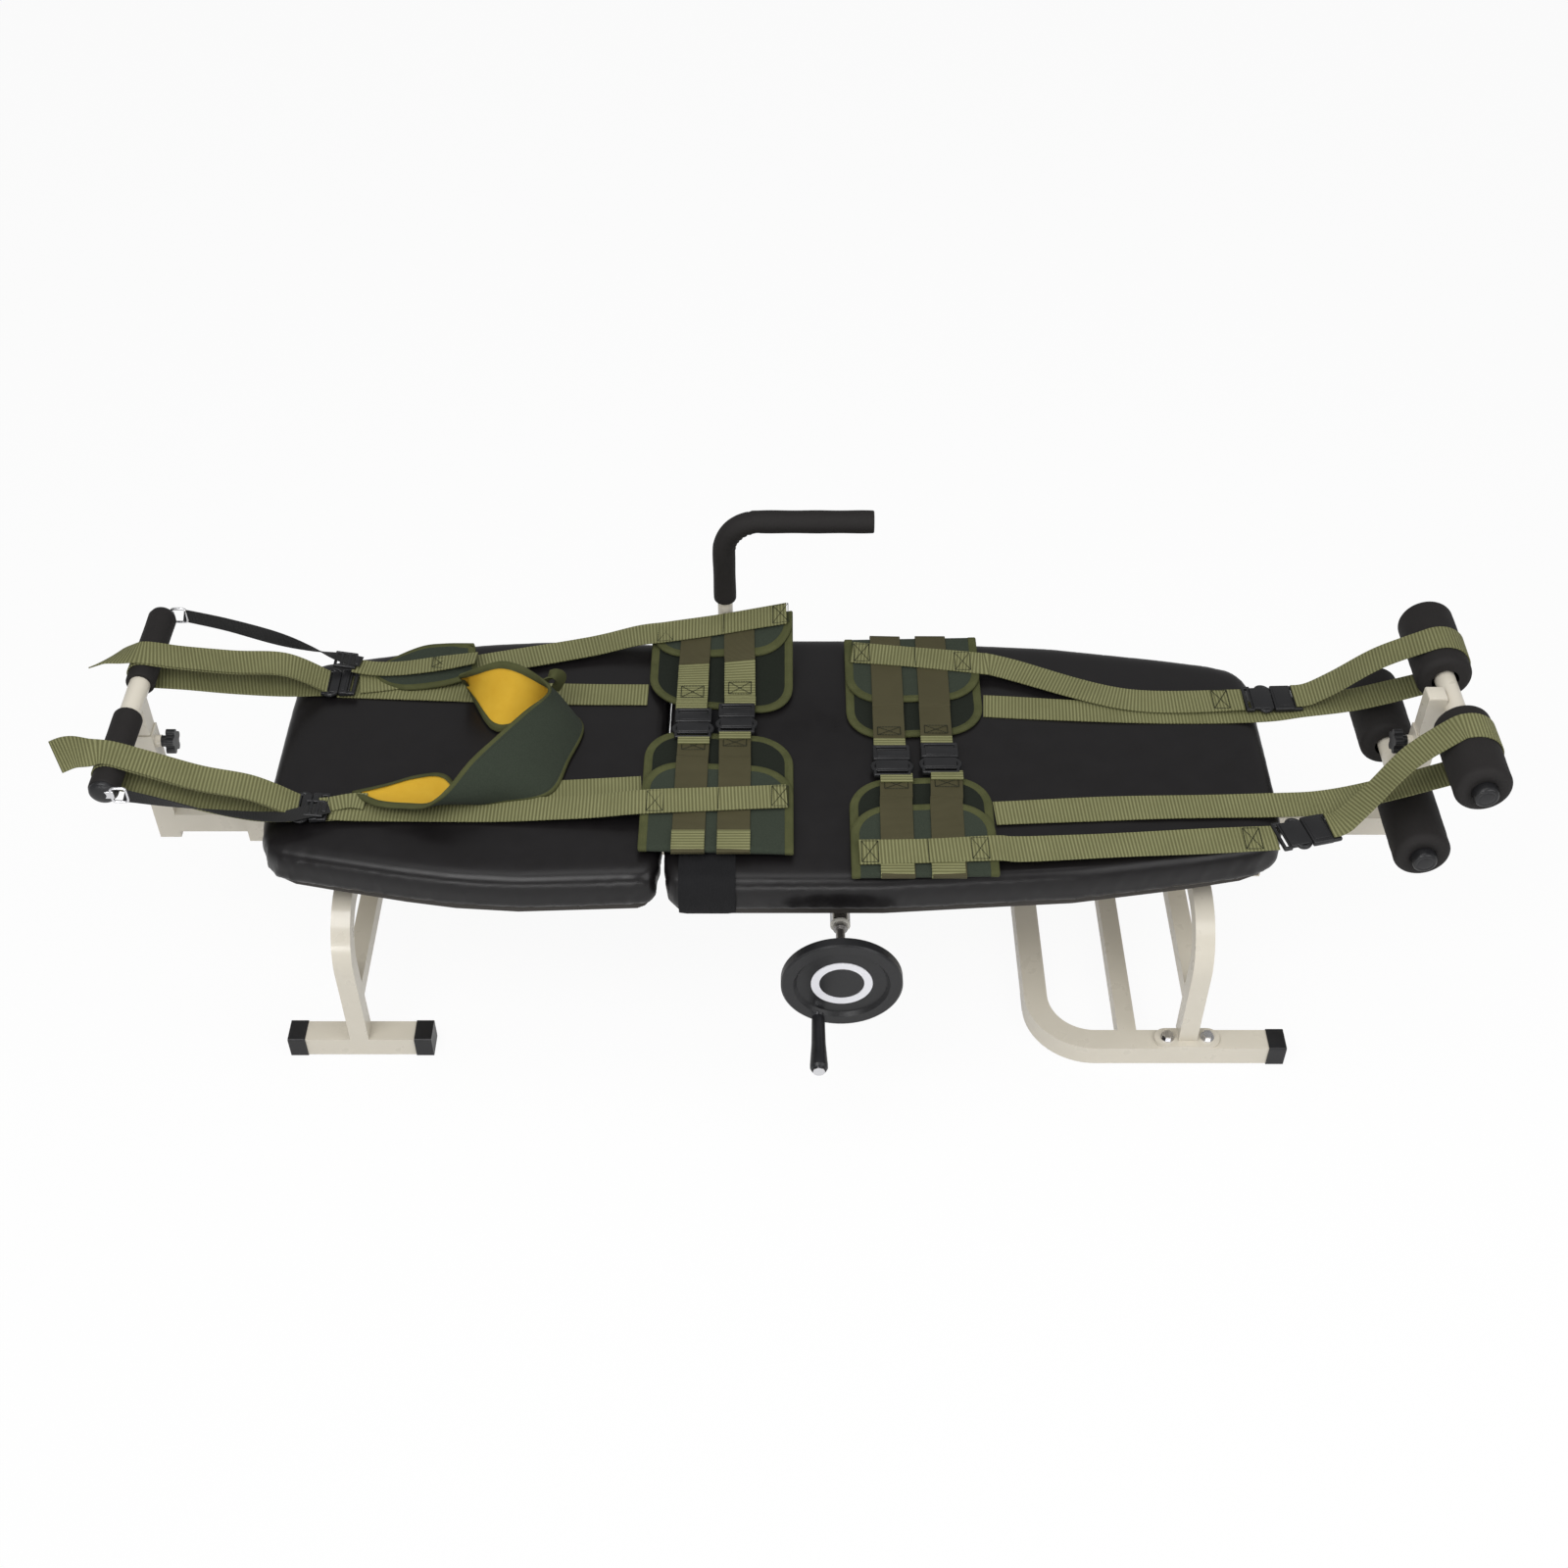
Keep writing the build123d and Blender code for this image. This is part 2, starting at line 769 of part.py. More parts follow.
def build_cushions():
    """Both upholstered sections, their boards and the cross beams under them."""
    add(
        "head_cushion",
        cushion(head_cushion_gap_x, head_cushion_end_x, head_cushion_half, head_cushion_shares),
    )
    add(
        "head_board",
        board(head_cushion_gap_x, head_cushion_end_x, head_cushion_half, head_cushion_shares),
    )
    add(
        "foot_cushion",
        cushion(foot_cushion_gap_x, foot_cushion_end_x, foot_cushion_half, foot_cushion_shares),
    )
    add(
        "foot_board",
        board(foot_cushion_gap_x, foot_cushion_end_x, foot_cushion_half, foot_cushion_shares),
    )
    half = beam_width / 2
    sleeve_top = head_rail_height + rail_inner
    for x, seat in (
        (head_cushion_gap_x - 2 * beam_width, spine_top),
        (sleeve_foot_x + beam_width, spine_top),
        (spine_head_x - beam_width / 2, sleeve_top),
    ):
        add(
            "head_supports",
            box_tube(x - half, x + half, -beam_half, beam_half, seat, board_bottom, "Y"),
        )
    outer = section_wire(
        belt_x, foot_cushion_half, cushion_bottom, cushion_top, soft_gap + belt_thickness
    )
    inner = section_wire(belt_x, foot_cushion_half, cushion_bottom, cushion_top, soft_gap)
    band = extrude(Face(outer), belt_width, dir=(1, 0, 0)) - extrude(
        Face(inner), belt_width, dir=(1, 0, 0)
    )
    add("elastic_belt", band)


def build_carriage():
    """Shoes, cross beams, the foot rail on its hangers and the lower roller bar."""
    half = beam_width / 2
    for x in (front_beam_x, rear_beam_x, tail_beam_x):
        add(
            "carriage_beams",
            box_tube(x - half, x + half, -beam_half, beam_half, beam_bottom, board_bottom, "Y"),
        )
    for x in (front_beam_x, rear_beam_x):
        low = rail_inner - slide_gap
        high = rail_outer + slide_gap
        shoe = block(
            x - shoe_length / 2,
            x + shoe_length / 2,
            -high - shoe_wall,
            -low,
            spine_top - shoe_lip,
            beam_bottom,
        )
        shoe -= block(
            x - shoe_length,
            x + shoe_length,
            -high,
            -low + overrun,
            spine_top - shoe_lip - overrun,
            spine_top,
        )
        add("slide_shoes", shoe, far_side(shoe))
    rail_half = slide_rail / 2
    rail_top = foot_rail_height + rail_half
    rail = box_tube(
        foot_rail_start_x,
        foot_post_face,
        -rail_half,
        rail_half,
        foot_rail_height - rail_half,
        rail_top,
        "X",
    )
    add("foot_rail", rail)
    hang = rail_half - tube_wall
    for x in (rear_beam_x, tail_beam_x):
        add("foot_rail", block(x - half, x + half, -hang, hang, rail_top, beam_bottom))
    add("foot_post_socket", post_socket(foot_post_x, -1))
    span = roller_bar_span / 2
    lower = pipe(
        (lower_bar_x, -span, lower_roller_height),
        (lower_bar_x, span, lower_roller_height),
        cross_bar_radius,
        cross_bar_radius - tube_wall,
    )
    post_half = post_tube / 2
    lower -= block(
        foot_post_x - post_half, foot_post_x + post_half, -post_half, post_half, post_bottom, post_top
    )
    for side in (-1, 1):
        lower += rod(
            (lower_bar_x, side * span, lower_roller_height),
            (lower_bar_x, side * (span + plug_thickness), lower_roller_height),
            plug_radius,
        )
    add("lower_roller_bar", lower)
    upper = rod(
        (upper_bar_x, -span, upper_roller_height), (
            upper_bar_x, span, upper_roller_height
        ), cross_bar_radius
    )
    upper += inner_tube_post(foot_post_x, upper_roller_height + cross_bar_radius)
    upper -= rod(
        (upper_bar_x, -span, upper_roller_height),
        (upper_bar_x, span, upper_roller_height),
        cross_bar_radius - tube_wall,
    )
    for side in (-1, 1):
        upper += rod(
            (upper_bar_x, side * span, upper_roller_height),
            (upper_bar_x, side * (span + plug_thickness), upper_roller_height),
            plug_radius,
        )
    add("upper_roller_bar", upper)
    add("foot_lock_knob", star_knob(foot_post_x, -1))
    for level, x, z in (
        ("upper", upper_bar_x, upper_roller_height), ("lower", lower_bar_x, lower_roller_height)
    ):
        for side, sign in (("near", -1), ("far", 1)):
            core = pipe(
                (x, sign * roller_inner, z),
                (x, sign * (roller_outer + plug_thickness), z),
                roller_core_radius,
                cross_bar_radius + running_gap,
            )
            foam = pipe(
                (x, sign * roller_inner, z), (
                    x, sign * roller_outer, z
                ), roller_radius, roller_core_radius
            )
            rims = foam.edges().filter_by(GeomType.CIRCLE).sort_by(SortBy.RADIUS)[-2:]
            add(f"{level}_roller_{side}", fillet(rims, roller_round), core)


def pinion_outline():
    """The face of the pinion: involute flanks, in the plane square to the shaft."""
    base = pitch_radius * cos(radians(pressure_angle))
    tip = pitch_radius + gear_module - gear_tip_relief
    root = pitch_radius - gear_module - root_clearance
    turn_at_pitch = tan(radians(pressure_angle)) - radians(pressure_angle)
    half_tooth = pi / (2 * pinion_teeth) - tooth_thinning / (2 * pitch_radius)
    flank = []
    for step in range(flank_steps + 1):
        radius = base + (tip - base) * step / flank_steps
        roll = max((radius / base) ** 2 - 1, 0) ** 0.5
        flank.append((radius, half_tooth + turn_at_pitch - roll + atan(roll)))
    points = []
    for tooth in range(pinion_teeth):
        middle = 2 * pi * tooth / pinion_teeth
        points.append((root, middle - flank[0][1]))
        points.extend((radius, middle - turn) for radius, turn in flank)
        points.extend((radius, middle + turn) for radius, turn in reversed(flank))
        points.append((root, middle + flank[0][1]))
    return points


def build_drive():
    """Rack, pinion, shaft, housing, handwheel and crank grip."""
    z = foot_rail_height
    half = gear_width / 2
    outline = [
        (shaft_x + r * sin(a), z + r * cos(a)) for r, a in pinion_outline()
    ]
    gear = extrude(
        make_face(Polyline(*[(x, -half, gz) for x, gz in outline], close=True)),
        gear_width,
        dir=(0, 1, 0),
    )
    gear += rod((shaft_x, half, z), (shaft_x, half + collar_length, z), collar_radius)
    gear -= rod((shaft_x, -gear_width, z), (shaft_x, gear_width + collar_length, z), shaft_radius)
    add("drive_pinion", gear)
    shaft = rod((shaft_x, -(wheel_front - wheel_depth), z), (shaft_x, shaft_far_end, z), shaft_radius)
    shaft += rod(
        (shaft_x, rail_outer + slide_gap, z), (
            shaft_x, rail_outer + slide_gap + collar_length, z
        ), collar_radius
    )
    shaft += rod(
        (shaft_x, -(housing_end + bush_flange + slide_gap), z),
        (shaft_x, -(housing_end + bush_flange + slide_gap + collar_length), z),
        collar_radius,
    )
    add("drive_shaft", shaft)
    add(
        "shaft_housing",
        pipe((shaft_x, -rail_outer, z), (shaft_x, -housing_end, z), housing_radius, housing_bore),
    )
    bore = shaft_radius + running_gap
    bush = pipe((shaft_x, -housing_end, z), (shaft_x, -housing_end + gear_width, z), housing_bore, bore)
    bush += pipe(
        (shaft_x, -housing_end - bush_flange, z), (shaft_x, -housing_end, z), housing_radius, bore
    )
    add("shaft_bushes", bush)
    for side in (-1, 1):
        add(
            "shaft_bushes",
            pipe(
                (shaft_x, side * rail_inner, z),
                (shaft_x, side * rail_outer, z),
                shaft_radius + bush_wall,
                bore,
            ),
        )
    pitch = pi * gear_module
    pitch_z = z + pitch_radius
    travel_teeth = int(slide_travel / pitch) + 3
    tip_z = pitch_z - gear_module + gear_tip_relief
    root_z = pitch_z + gear_module + root_clearance
    slope = tan(radians(pressure_angle))
    half_thick = pitch / 4 - tooth_thinning / 2
    points = []
    for tooth in range(-travel_teeth, 3):
        middle = shaft_x + (tooth + 1 / 2) * pitch
        points.append((middle - half_thick - slope * (root_z - pitch_z), root_z))
        points.append((middle - half_thick + slope * (pitch_z - tip_z), tip_z))
        points.append((middle + half_thick - slope * (pitch_z - tip_z), tip_z))
        points.append((middle + half_thick + slope * (root_z - pitch_z), root_z))
    high_x = points[-1][0] + pitch / 2
    low_x = points[0][0] - pitch / 2
    rack_top = beam_bottom
    points = [(low_x, rack_top), (low_x, root_z)] + points + [(high_x, root_z), (high_x, rack_top)]
    rack = extrude(
        make_face(Polyline(*[(x, -half, rz) for x, rz in points], close=True)),
        gear_width,
        dir=(0, 1, 0),
    )
    rack += block(
        front_beam_x + beam_width / 2,
        rear_beam_x - beam_width / 2,
        -half,
        half,
        rack_top,
        rack_top + gear_width / 2,
    )
    add("drive_rack", rack)
    build_wheel()


def turned(points, x, z):
    """A solid of revolution about the Y axis through x, z, from points of radius and distance out."""
    outline = make_face(Polyline(*[(x + r, -out, z) for r, out in points], close=True))
    return revolve(outline, Axis((x, 0, z), (0, 1, 0)), 360)


def build_wheel():
    """Handwheel, its ring, and the crank grip on its bolt."""
    z = foot_rail_height
    back = wheel_front - wheel_depth
    web_back = wheel_front - wheel_dish - wheel_web
    web_front = wheel_front - wheel_dish
    rim_inner = wheel_radius - wheel_rim
    profile = [
        (0, back),
        (wheel_hub_radius, back),
        (wheel_hub_radius, web_back),
        (rim_inner, web_back),
        (rim_inner + wheel_web, wheel_front - wheel_web),
        (wheel_radius - wheel_web, wheel_front - wheel_web),
        (wheel_radius - wheel_web, back),
        (wheel_radius - wheel_web / 2, back - wheel_web / 4),
        (wheel_radius, back),
        (wheel_radius, wheel_front - wheel_web / 2),
        (wheel_radius - wheel_web / 2, wheel_front),
        (rim_inner + wheel_web, wheel_front),
        (rim_inner, web_front),
        (0, web_front),
    ]
    wheel = turned(profile, shaft_x, z)
    pin = rod(
        (crank_x, -back, crank_z), (crank_x, -(wheel_front + overrun), crank_z), crank_pin_radius
    )
    wheel -= pin
    seat = wheel_front - wheel_web
    add("handwheel", wheel)
    add(
        "handwheel_ring",
        pipe(
            (shaft_x, -web_front, z), (shaft_x, -web_front - ring_thickness, z), ring_outer, ring_inner
        ),
    )
    collar_out = wheel_front + crank_collar_length
    grip_low = collar_out + slide_gap
    grip_high = grip_low + crank_grip_length
    bolt = rod(
        (crank_x, -seat, crank_z), (crank_x, -grip_high - crank_cap_length, crank_z), crank_pin_radius
    )
    bolt += rod(
        (crank_x, -wheel_front, crank_z),
        (crank_x, -collar_out, crank_z),
        crank_grip_root - 2 * running_gap,
    )
    bolt += rod(
        (crank_x, -grip_high - slide_gap, crank_z),
        (crank_x, -grip_high - crank_cap_length, crank_z),
        crank_cap_radius,
    )
    add("crank_bolt", bolt)
    profile = [
        (crank_pin_radius + running_gap, grip_low),
        (crank_grip_root, grip_low),
        (crank_grip_root + (crank_grip_end - crank_grip_root) / 4, grip_low + crank_grip_length / 2),
        (crank_grip_end, grip_high - crank_grip_root),
        (crank_grip_end, grip_high - crank_pin_radius),
        (crank_grip_end - crank_pin_radius / 2, grip_high),
        (crank_pin_radius + running_gap, grip_high),
    ]
    add("crank_grip", turned(profile, crank_x, crank_z))


def build_grab_handle():
    """Bracket and socket on the far rail, the bent handle that turns in it, and its foam."""
    half = leg_tube / 2
    outer = handle_tube_radius + socket_wall
    arm = box_tube(
        handle_x - half, handle_x + half, rail_outer, handle_y, socket_bottom, socket_bottom + leg_tube, "Y"
    )
    socket = rod((handle_x, handle_y, socket_bottom), (handle_x, handle_y, socket_top), outer)
    bore = rod(
        (handle_x, handle_y, socket_bottom + socket_floor),
        (handle_x, handle_y, socket_top + overrun),
        handle_tube_radius + running_gap,
    )
    add("handle_bracket", (arm + socket) - bore)
    foot = socket_bottom + socket_floor + slide_gap
    end_x = handle_x + handle_reach

    def bent(start_z, finish_x, radius):
        path = FilletPolyline(
            (handle_x, handle_y, start_z),
            (handle_x, handle_y, handle_height),
            (finish_x, handle_y, handle_height),
            radius=handle_bend,
        )
        return sweep(Plane(origin=path @ 0, z_dir=path % 0) * Circle(radius), path=path)

    tube = bent(foot, end_x - socket_floor, handle_tube_radius)
    add("grab_handle", tube)
    add("grab_handle_foam", bent(handle_foam_start, end_x, handle_foam_radius) - tube)


def ribbon(stations, width, thickness, across=(0, 1, 0)):
    """A flat strap as a ruled loft. Each station is a point, and may carry its own width direction."""
    centres = [Vector(*row[:3]) for row in stations]
    wires = []
    for place, centre in enumerate(centres):
        before = centres[max(place - 1, 0)]
        after = centres[min(place + 1, len(centres) - 1)]
        along = (after - before).normalized()
        side = Vector(*(stations[place][3] if len(stations[place]) > 3 else across))
        up = along.cross(side).normalized()
        half_side = side * (width / 2)
        half_up = up * (thickness / 2)
        corners = [
            centre - half_side - half_up,
            centre + half_side - half_up,
            centre + half_side + half_up,
            centre - half_side + half_up,
        ]
        wires.append(Wire.make_polygon(corners, close=True))
    return Solid.make_loft(wires, True)


def felt_pad(x_low, length, bottom, fold_y, tip_y, flap_y):
    """A felt strip folded at the outer side: a long tongue below and a short flap on top of it."""
    x_high = x_low + length
    solids = None
    for tip, low in ((tip_y, bottom), (flap_y, bottom + felt)):
        y_low, y_high = sorted((fold_y, tip))
        sheet = block(x_low, x_high, y_low, y_high, low, low + felt)
        corners = sheet.edges().filter_by(Axis.Z).sort_by(Axis.Y)
        tips = corners[:2] if tip < fold_y else corners[2:]
        sheet = fillet(tips, min(pad_round, abs(fold_y - tip) * 0.8))
        solids = sheet if solids is None else solids + sheet
    return solids


def cross_belts(part, pad_x, pad_length, bottom, far_row, near_row, belt_rows):
    """Two belts across the bed with a side-release buckle in each."""
    name = f"{part}_belts"
    buckles = f"{part}_buckles"
    half = foot_cushion_half
    top = bottom + 2 * felt + soft_gap + webbing / 2
    middle = bottom + felt + soft_gap + webbing / 2
    for along, buckle_share in belt_rows:
        x = pad_x + pad_length * along
        buckle_y = half * buckle_share
        fold_far = half * far_row[0]
        fold_near = half * near_row[0]
        flap_far = half * far_row[2]
        flap_near = half * near_row[2]
        reach = buckle_length + soft_gap
        far = [
            (x, fold_far - webbing, top),
            (x, flap_far, top),
            (x, flap_far - 2 * felt, top),
            (x, max(flap_far - 6 * felt, buckle_y + reach + felt), middle + felt),
            (x, buckle_y + reach, middle + felt),
        ]
        near = [
            (x, fold_near + webbing, top),
            (x, flap_near, top),
            (x, flap_near + 2 * felt, top),
            (x, min(flap_near + 6 * felt, buckle_y - reach - felt), middle + felt),
            (x, buckle_y - reach, middle + felt),
        ]
        add(
            name,
            ribbon(far, webbing_width, webbing, (1, 0, 0)),
            ribbon(near, webbing_width, webbing, (1, 0, 0)),
        )
        low = middle
        for side in (-1, 1):
            y_low, y_high = sorted((buckle_y + side * soft_gap, buckle_y + side * buckle_length))
            shell = block(
                x - buckle_width / 2, x + buckle_width / 2, y_low, y_high, low, low + buckle_height
            )
            add(buckles, fillet(shell.edges().filter_by(Axis.Z), corner_radius))


def chest_strap(side):
    """One webbing loop from a chest pad over the head bar and back, with its tail."""
    name = f"chest_strap_{side}"
    half_span = head_bar_span / 2
    way = head_post_x - adjuster_x
    lift = head_bar_height - cushion_top
    wrap = bar_foam_radius + wrap_gap + webbing / 2
    bar_y = half_span * chest_bar_shares[side]
    layer = webbing + 2 * soft_gap

    lock_face = adjuster_x - adjuster_length / 2 - buckle_gap
    lock_y = half_span * chest_run_shares[side][0][1]
    out = [
        (adjuster_x + way * s, half_span * y, cushion_top + lift * h + wrap)
        for s, y, h in chest_run_shares[side][1:]
    ]
    turn = []
    for step in range(wrap_steps + 1):
        angle = radians(wrap_from + (wrap_to - wrap_from) * step / wrap_steps)
        turn.append((head_post_x + wrap * cos(angle), bar_y, head_bar_height + wrap * sin(angle)))
    back = [(x, y, z - 2 * wrap * back_drop_share) for x, y, z in reversed(out)]
    lock_low = lay_bottom + layer
    start = (lock_face, lock_y, lock_low + 2 * webbing)
    finish = (lock_face, lock_y, lock_low)
    add(name, ribbon([start] + out + turn + back + [finish], webbing_width, webbing))
    # The tail lies on the loop and springs free past the bar
    reach, drop = tail_shares[side]
    tail = [(lock_face, lock_y, lock_low + 2 * webbing + layer)]
    tail += [(x, y, z + layer) for x, y, z in out]
    top = head_bar_height + wrap + layer
    tail.append((head_post_x, bar_y, top + webbing / 2))
    tail.append((head_post_x + way * reach / 2, bar_y, top + drop * webbing_width / 4))
    tail.append((head_post_x + way * reach, bar_y - webbing, top + drop * webbing_width))
    add(name, ribbon(tail, webbing_width, webbing))
    # Two runs from the adjuster to the pad
    pad_near_x = chest_pad_x - webbing
    lie = [
        (adjuster_x + (pad_near_x - adjuster_x) * s, half_span * y, lay_bottom + webbing / 2)
        for s, y in chest_lie_shares[side]
    ]
    add(name, ribbon(lie, webbing_width, webbing))
    end_x = chest_pad_x + chest_pad_length - felt
    lie_level = lay_bottom + webbing / 2
    rise = flap_top + layer + soft_gap + webbing / 2 - lie_level
    top_run = [
        (adjuster_x + (end_x - adjuster_x) * s, half_span * y, lie_level + rise * h)
        for s, y, h in chest_top_shares[side]
    ]
    add(name, ribbon(top_run, webbing_width, webbing))
    lock = block(
        adjuster_x - adjuster_length / 2,
        adjuster_x + adjuster_length / 2,
        lock_y - adjuster_width / 2,
        lock_y + adjuster_width / 2,
        lock_low,
        lock_low + adjuster_height,
    )
    add("strap_adjusters", fillet(lock.edges().filter_by(Axis.Z), corner_radius))


def pelvic_strap(side):
    """One webbing loop from a pelvic pad round an upper roller and back, with its buckle."""
    name = f"pelvic_strap_{side}"
    sign = 1 if side == "far" else -1
    half = foot_cushion_half
    start_x = pelvic_pad_x + pelvic_pad_length
    way = upper_bar_x - start_x
    lie_level = lay_bottom + webbing / 2
    layer = webbing + 2 * soft_gap
    pad_level = lay_bottom + 2 * felt + layer + soft_gap + webbing / 2
    wrap = roller_radius + wrap_gap + webbing / 2
    roller_top = upper_roller_height + wrap
    top_run = [
        (start_x + way * s, half * y, lie_level + layer + (pad_level - lie_level - layer) * h)
        for s, y, h in pelvic_top_shares[side]
    ]
    add(name, ribbon(top_run, webbing_width, webbing))
    rise = [
        (start_x + way * s, half * y, cushion_top + felt + (roller_top - cushion_top - felt) * h)
        for s, y, h in pelvic_rise_shares[side]
    ]
    roller_y = sign * foot_cushion_half * roller_wrap_share
    turn = []
    for step in range(wrap_steps + 1):
        angle = radians(roller_wrap_from + (roller_wrap_to - roller_wrap_from) * step / wrap_steps)
        turn.append(
            (upper_bar_x + wrap * cos(angle), roller_y, upper_roller_height + wrap * sin(angle))
        )
    under = upper_roller_height - wrap
    lie = [
        (start_x + way * s, half * y, lie_level + (under - lie_level) * h) for s, y, h in pelvic_lie_shares[
            side
        ]
    ]
    add(name, ribbon(rise + turn + lie, webbing_width, webbing))
    last = top_run[-1]
    first = rise[0]
    low_x = last[0] + buckle_gap
    high_x = first[0] - buckle_gap
    low_y = (last[1] + first[1]) / 2 - adjuster_width / 2
    shell = block(
        low_x,
        high_x,
        low_y,
        low_y + adjuster_width,
        last[2] - webbing,
        last[2] - webbing + buckle_height,
    )
    add("pelvic_buckles", fillet(shell.edges().filter_by(Axis.Z), corner_radius))


def build_halter():
    """The head halter and its two straps to the hooks at the ends of the head bar."""
    width = halter_far - halter_near
    low = lay_bottom + 2 * (webbing + 2 * soft_gap)
    outline = [
        (halter_x - halter_length * along, halter_near + width * across)
        for along, across in halter_outline_shares
    ]
    add(
        "halter",
        extrude(Pos(0, 0, low) * make_face(Polyline(*outline, close=True)), felt, dir=(0, 0, 1)),
    )
    start_x = halter_x - halter_length - buckle_gap
    hook_x = head_post_x + cross_bar_radius + 2 * hook_ring_radius + buckle_gap
    half_span = head_bar_span / 2
    base = low + felt / 2
    for side in ("near", "far"):
        rows = [
            (start_x + (hook_x - start_x) * s, half_span * y, base + (head_bar_height - base) * h)
            for s, y, h in halter_strap_shares[side]
        ]
        add("halter_straps", ribbon(rows, black_strap_width, black_strap))


def build_part():
    """Build every node in the layout frame."""
    build_head_frame()
    build_foot_frame()
    build_head_rail()
    build_head_bar()
    build_cushions()
    build_carriage()
    build_drive()
    build_grab_handle()
    half = foot_cushion_half
    harness = (
        (
            "chest",
            chest_pad_x,
            chest_pad_length,
            pad_bottom,
            chest_far_shares,
            chest_near_shares,
            chest_belt_shares,
        ),
        (
            "pelvic",
            pelvic_pad_x,
            pelvic_pad_length,
            lay_bottom,
            pelvic_far_shares,
            pelvic_near_shares,
            pelvic_belt_shares,
        ),
    )
    for part, start, length, bottom, far_row, near_row, belt_rows in harness:
        for side, row in (("far", far_row), ("near", near_row)):
            fold, tip, flap = (half * share for share in row)
            add(f"{part}_pad_{side}", felt_pad(start, length, bottom, fold, tip, flap))
        cross_belts(part, start, length, bottom, far_row, near_row, belt_rows)
    for side in ("far", "near"):
        chest_strap(side)
        pelvic_strap(side)
    build_halter()


build_part()
os.makedirs("parts", exist_ok=True)
corners = [Compound(solids).bounding_box() for solids in nodes.values()]
low_x = min(box.min.X for box in corners)
high_x = max(box.max.X for box in corners)
low_y = min(box.min.Y for box in corners)
high_y = max(box.max.Y for box in corners)
low_z = min(box.min.Z for box in corners)
shift = Location((-(low_x + high_x) / 2, -(low_y + high_y) / 2, -low_z))
print("moved by", shift.position, "size", high_x - low_x, high_y - low_y)
for name, solids in nodes.items():
    flat = [piece for solid in solids for piece in solid.solids()]
    export_step(Compound(flat).moved(shift), f"parts/{name}.step")
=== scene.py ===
"""Looks of a home traction bed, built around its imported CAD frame.

The layout is the one that the CAD part is drawn in: millimetres, X along the bed from the head end
to the foot end, Y across it with the handwheel at low Y, and Z up from the floor. Layout.place()
turns a layout point into the shared frame, in metres.
"""

from __future__ import annotations

import json
import logging
import math
import random
from dataclasses import dataclass, field
from enum import Enum
from itertools import product
from typing import Any, Callable, ClassVar, Iterator, Sequence

import bmesh
import bpy
import numpy as np
from mathutils import Matrix, Vector

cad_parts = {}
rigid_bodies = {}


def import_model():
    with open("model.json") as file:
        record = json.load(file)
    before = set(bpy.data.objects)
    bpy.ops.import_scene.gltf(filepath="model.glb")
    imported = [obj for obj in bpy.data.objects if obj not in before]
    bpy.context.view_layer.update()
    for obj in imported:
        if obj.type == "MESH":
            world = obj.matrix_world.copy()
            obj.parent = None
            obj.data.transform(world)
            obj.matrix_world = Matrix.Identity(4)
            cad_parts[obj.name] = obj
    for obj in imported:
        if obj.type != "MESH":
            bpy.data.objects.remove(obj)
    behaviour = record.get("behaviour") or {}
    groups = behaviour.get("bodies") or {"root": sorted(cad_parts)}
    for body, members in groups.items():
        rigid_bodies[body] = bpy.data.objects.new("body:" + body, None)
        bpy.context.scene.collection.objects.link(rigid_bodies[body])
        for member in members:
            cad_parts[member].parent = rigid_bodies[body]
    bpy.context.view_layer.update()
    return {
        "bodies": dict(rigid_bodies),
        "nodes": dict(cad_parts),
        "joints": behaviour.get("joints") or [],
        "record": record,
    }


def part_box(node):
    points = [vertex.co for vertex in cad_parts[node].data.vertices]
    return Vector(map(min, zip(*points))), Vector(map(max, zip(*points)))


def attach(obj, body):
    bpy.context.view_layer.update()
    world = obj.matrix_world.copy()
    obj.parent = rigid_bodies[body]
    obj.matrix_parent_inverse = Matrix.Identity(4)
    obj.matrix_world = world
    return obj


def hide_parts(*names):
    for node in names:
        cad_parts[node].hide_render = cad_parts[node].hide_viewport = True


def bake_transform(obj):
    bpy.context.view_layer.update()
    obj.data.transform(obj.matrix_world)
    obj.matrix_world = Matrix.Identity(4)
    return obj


log = logging.getLogger("traction_bed")

MM = 0.001
TURN = 2 * math.pi
QUARTER = math.pi / 2

# Sizes shared with the CAD part, in layout millimetres
CUSHION_TOP = 430.0
CUSHION_BOTTOM = 360.0
FOOT_START = -178.0
HEAD_POST_X = -1000.0
HEAD_BAR_Z = 531.0
BAR_HALF = 202.0
BED_HALF = 288.0
UPPER_BAR_X = 1029.6
UPPER_BAR_Z = 529.0
LOWER_BAR_X = 970.0
LOWER_BAR_Z = 390.0
ROLLER_RADIUS = 43.0
WEBBING = 2.0
WEB_WIDTH = 50.0
FELT = 5.0
THREAD_PITCH = 3.8
THREAD_RADIUS = 0.5
BOX_HALF_X = 12.5
BOX_HALF_Y = 21.5
SEAM_HALF_Y = 23.0
LENGTHWAYS = Vector((1.0, 0.0, 0.0))
CROSSWAYS = Vector((0.0, 1.0, 0.0))

Point = tuple[float, float, float]
Pair = tuple[float, float]
Body = str | tuple[str, str, Point, Point]
Socket = bpy.types.NodeSocket
Inputs = dict[str | int, Any]


class Side(Enum):
    """The two long sides of the bed; the value is the sign of Y."""

    NEAR = -1
    FAR = 1

    @property
    def word(self) -> str:
        """The side's name as the CAD nodes spell it."""
        return self.name.lower()


class Relief(Enum):
    """The surface texture that a finish raises."""

    GRAIN = "grain"
    RIBS = "ribs"
    TWILL = "twill"
    FIBRE = "fibre"
    CELLS = "cells"
    HIDE = "hide"
    WOOD = "wood"


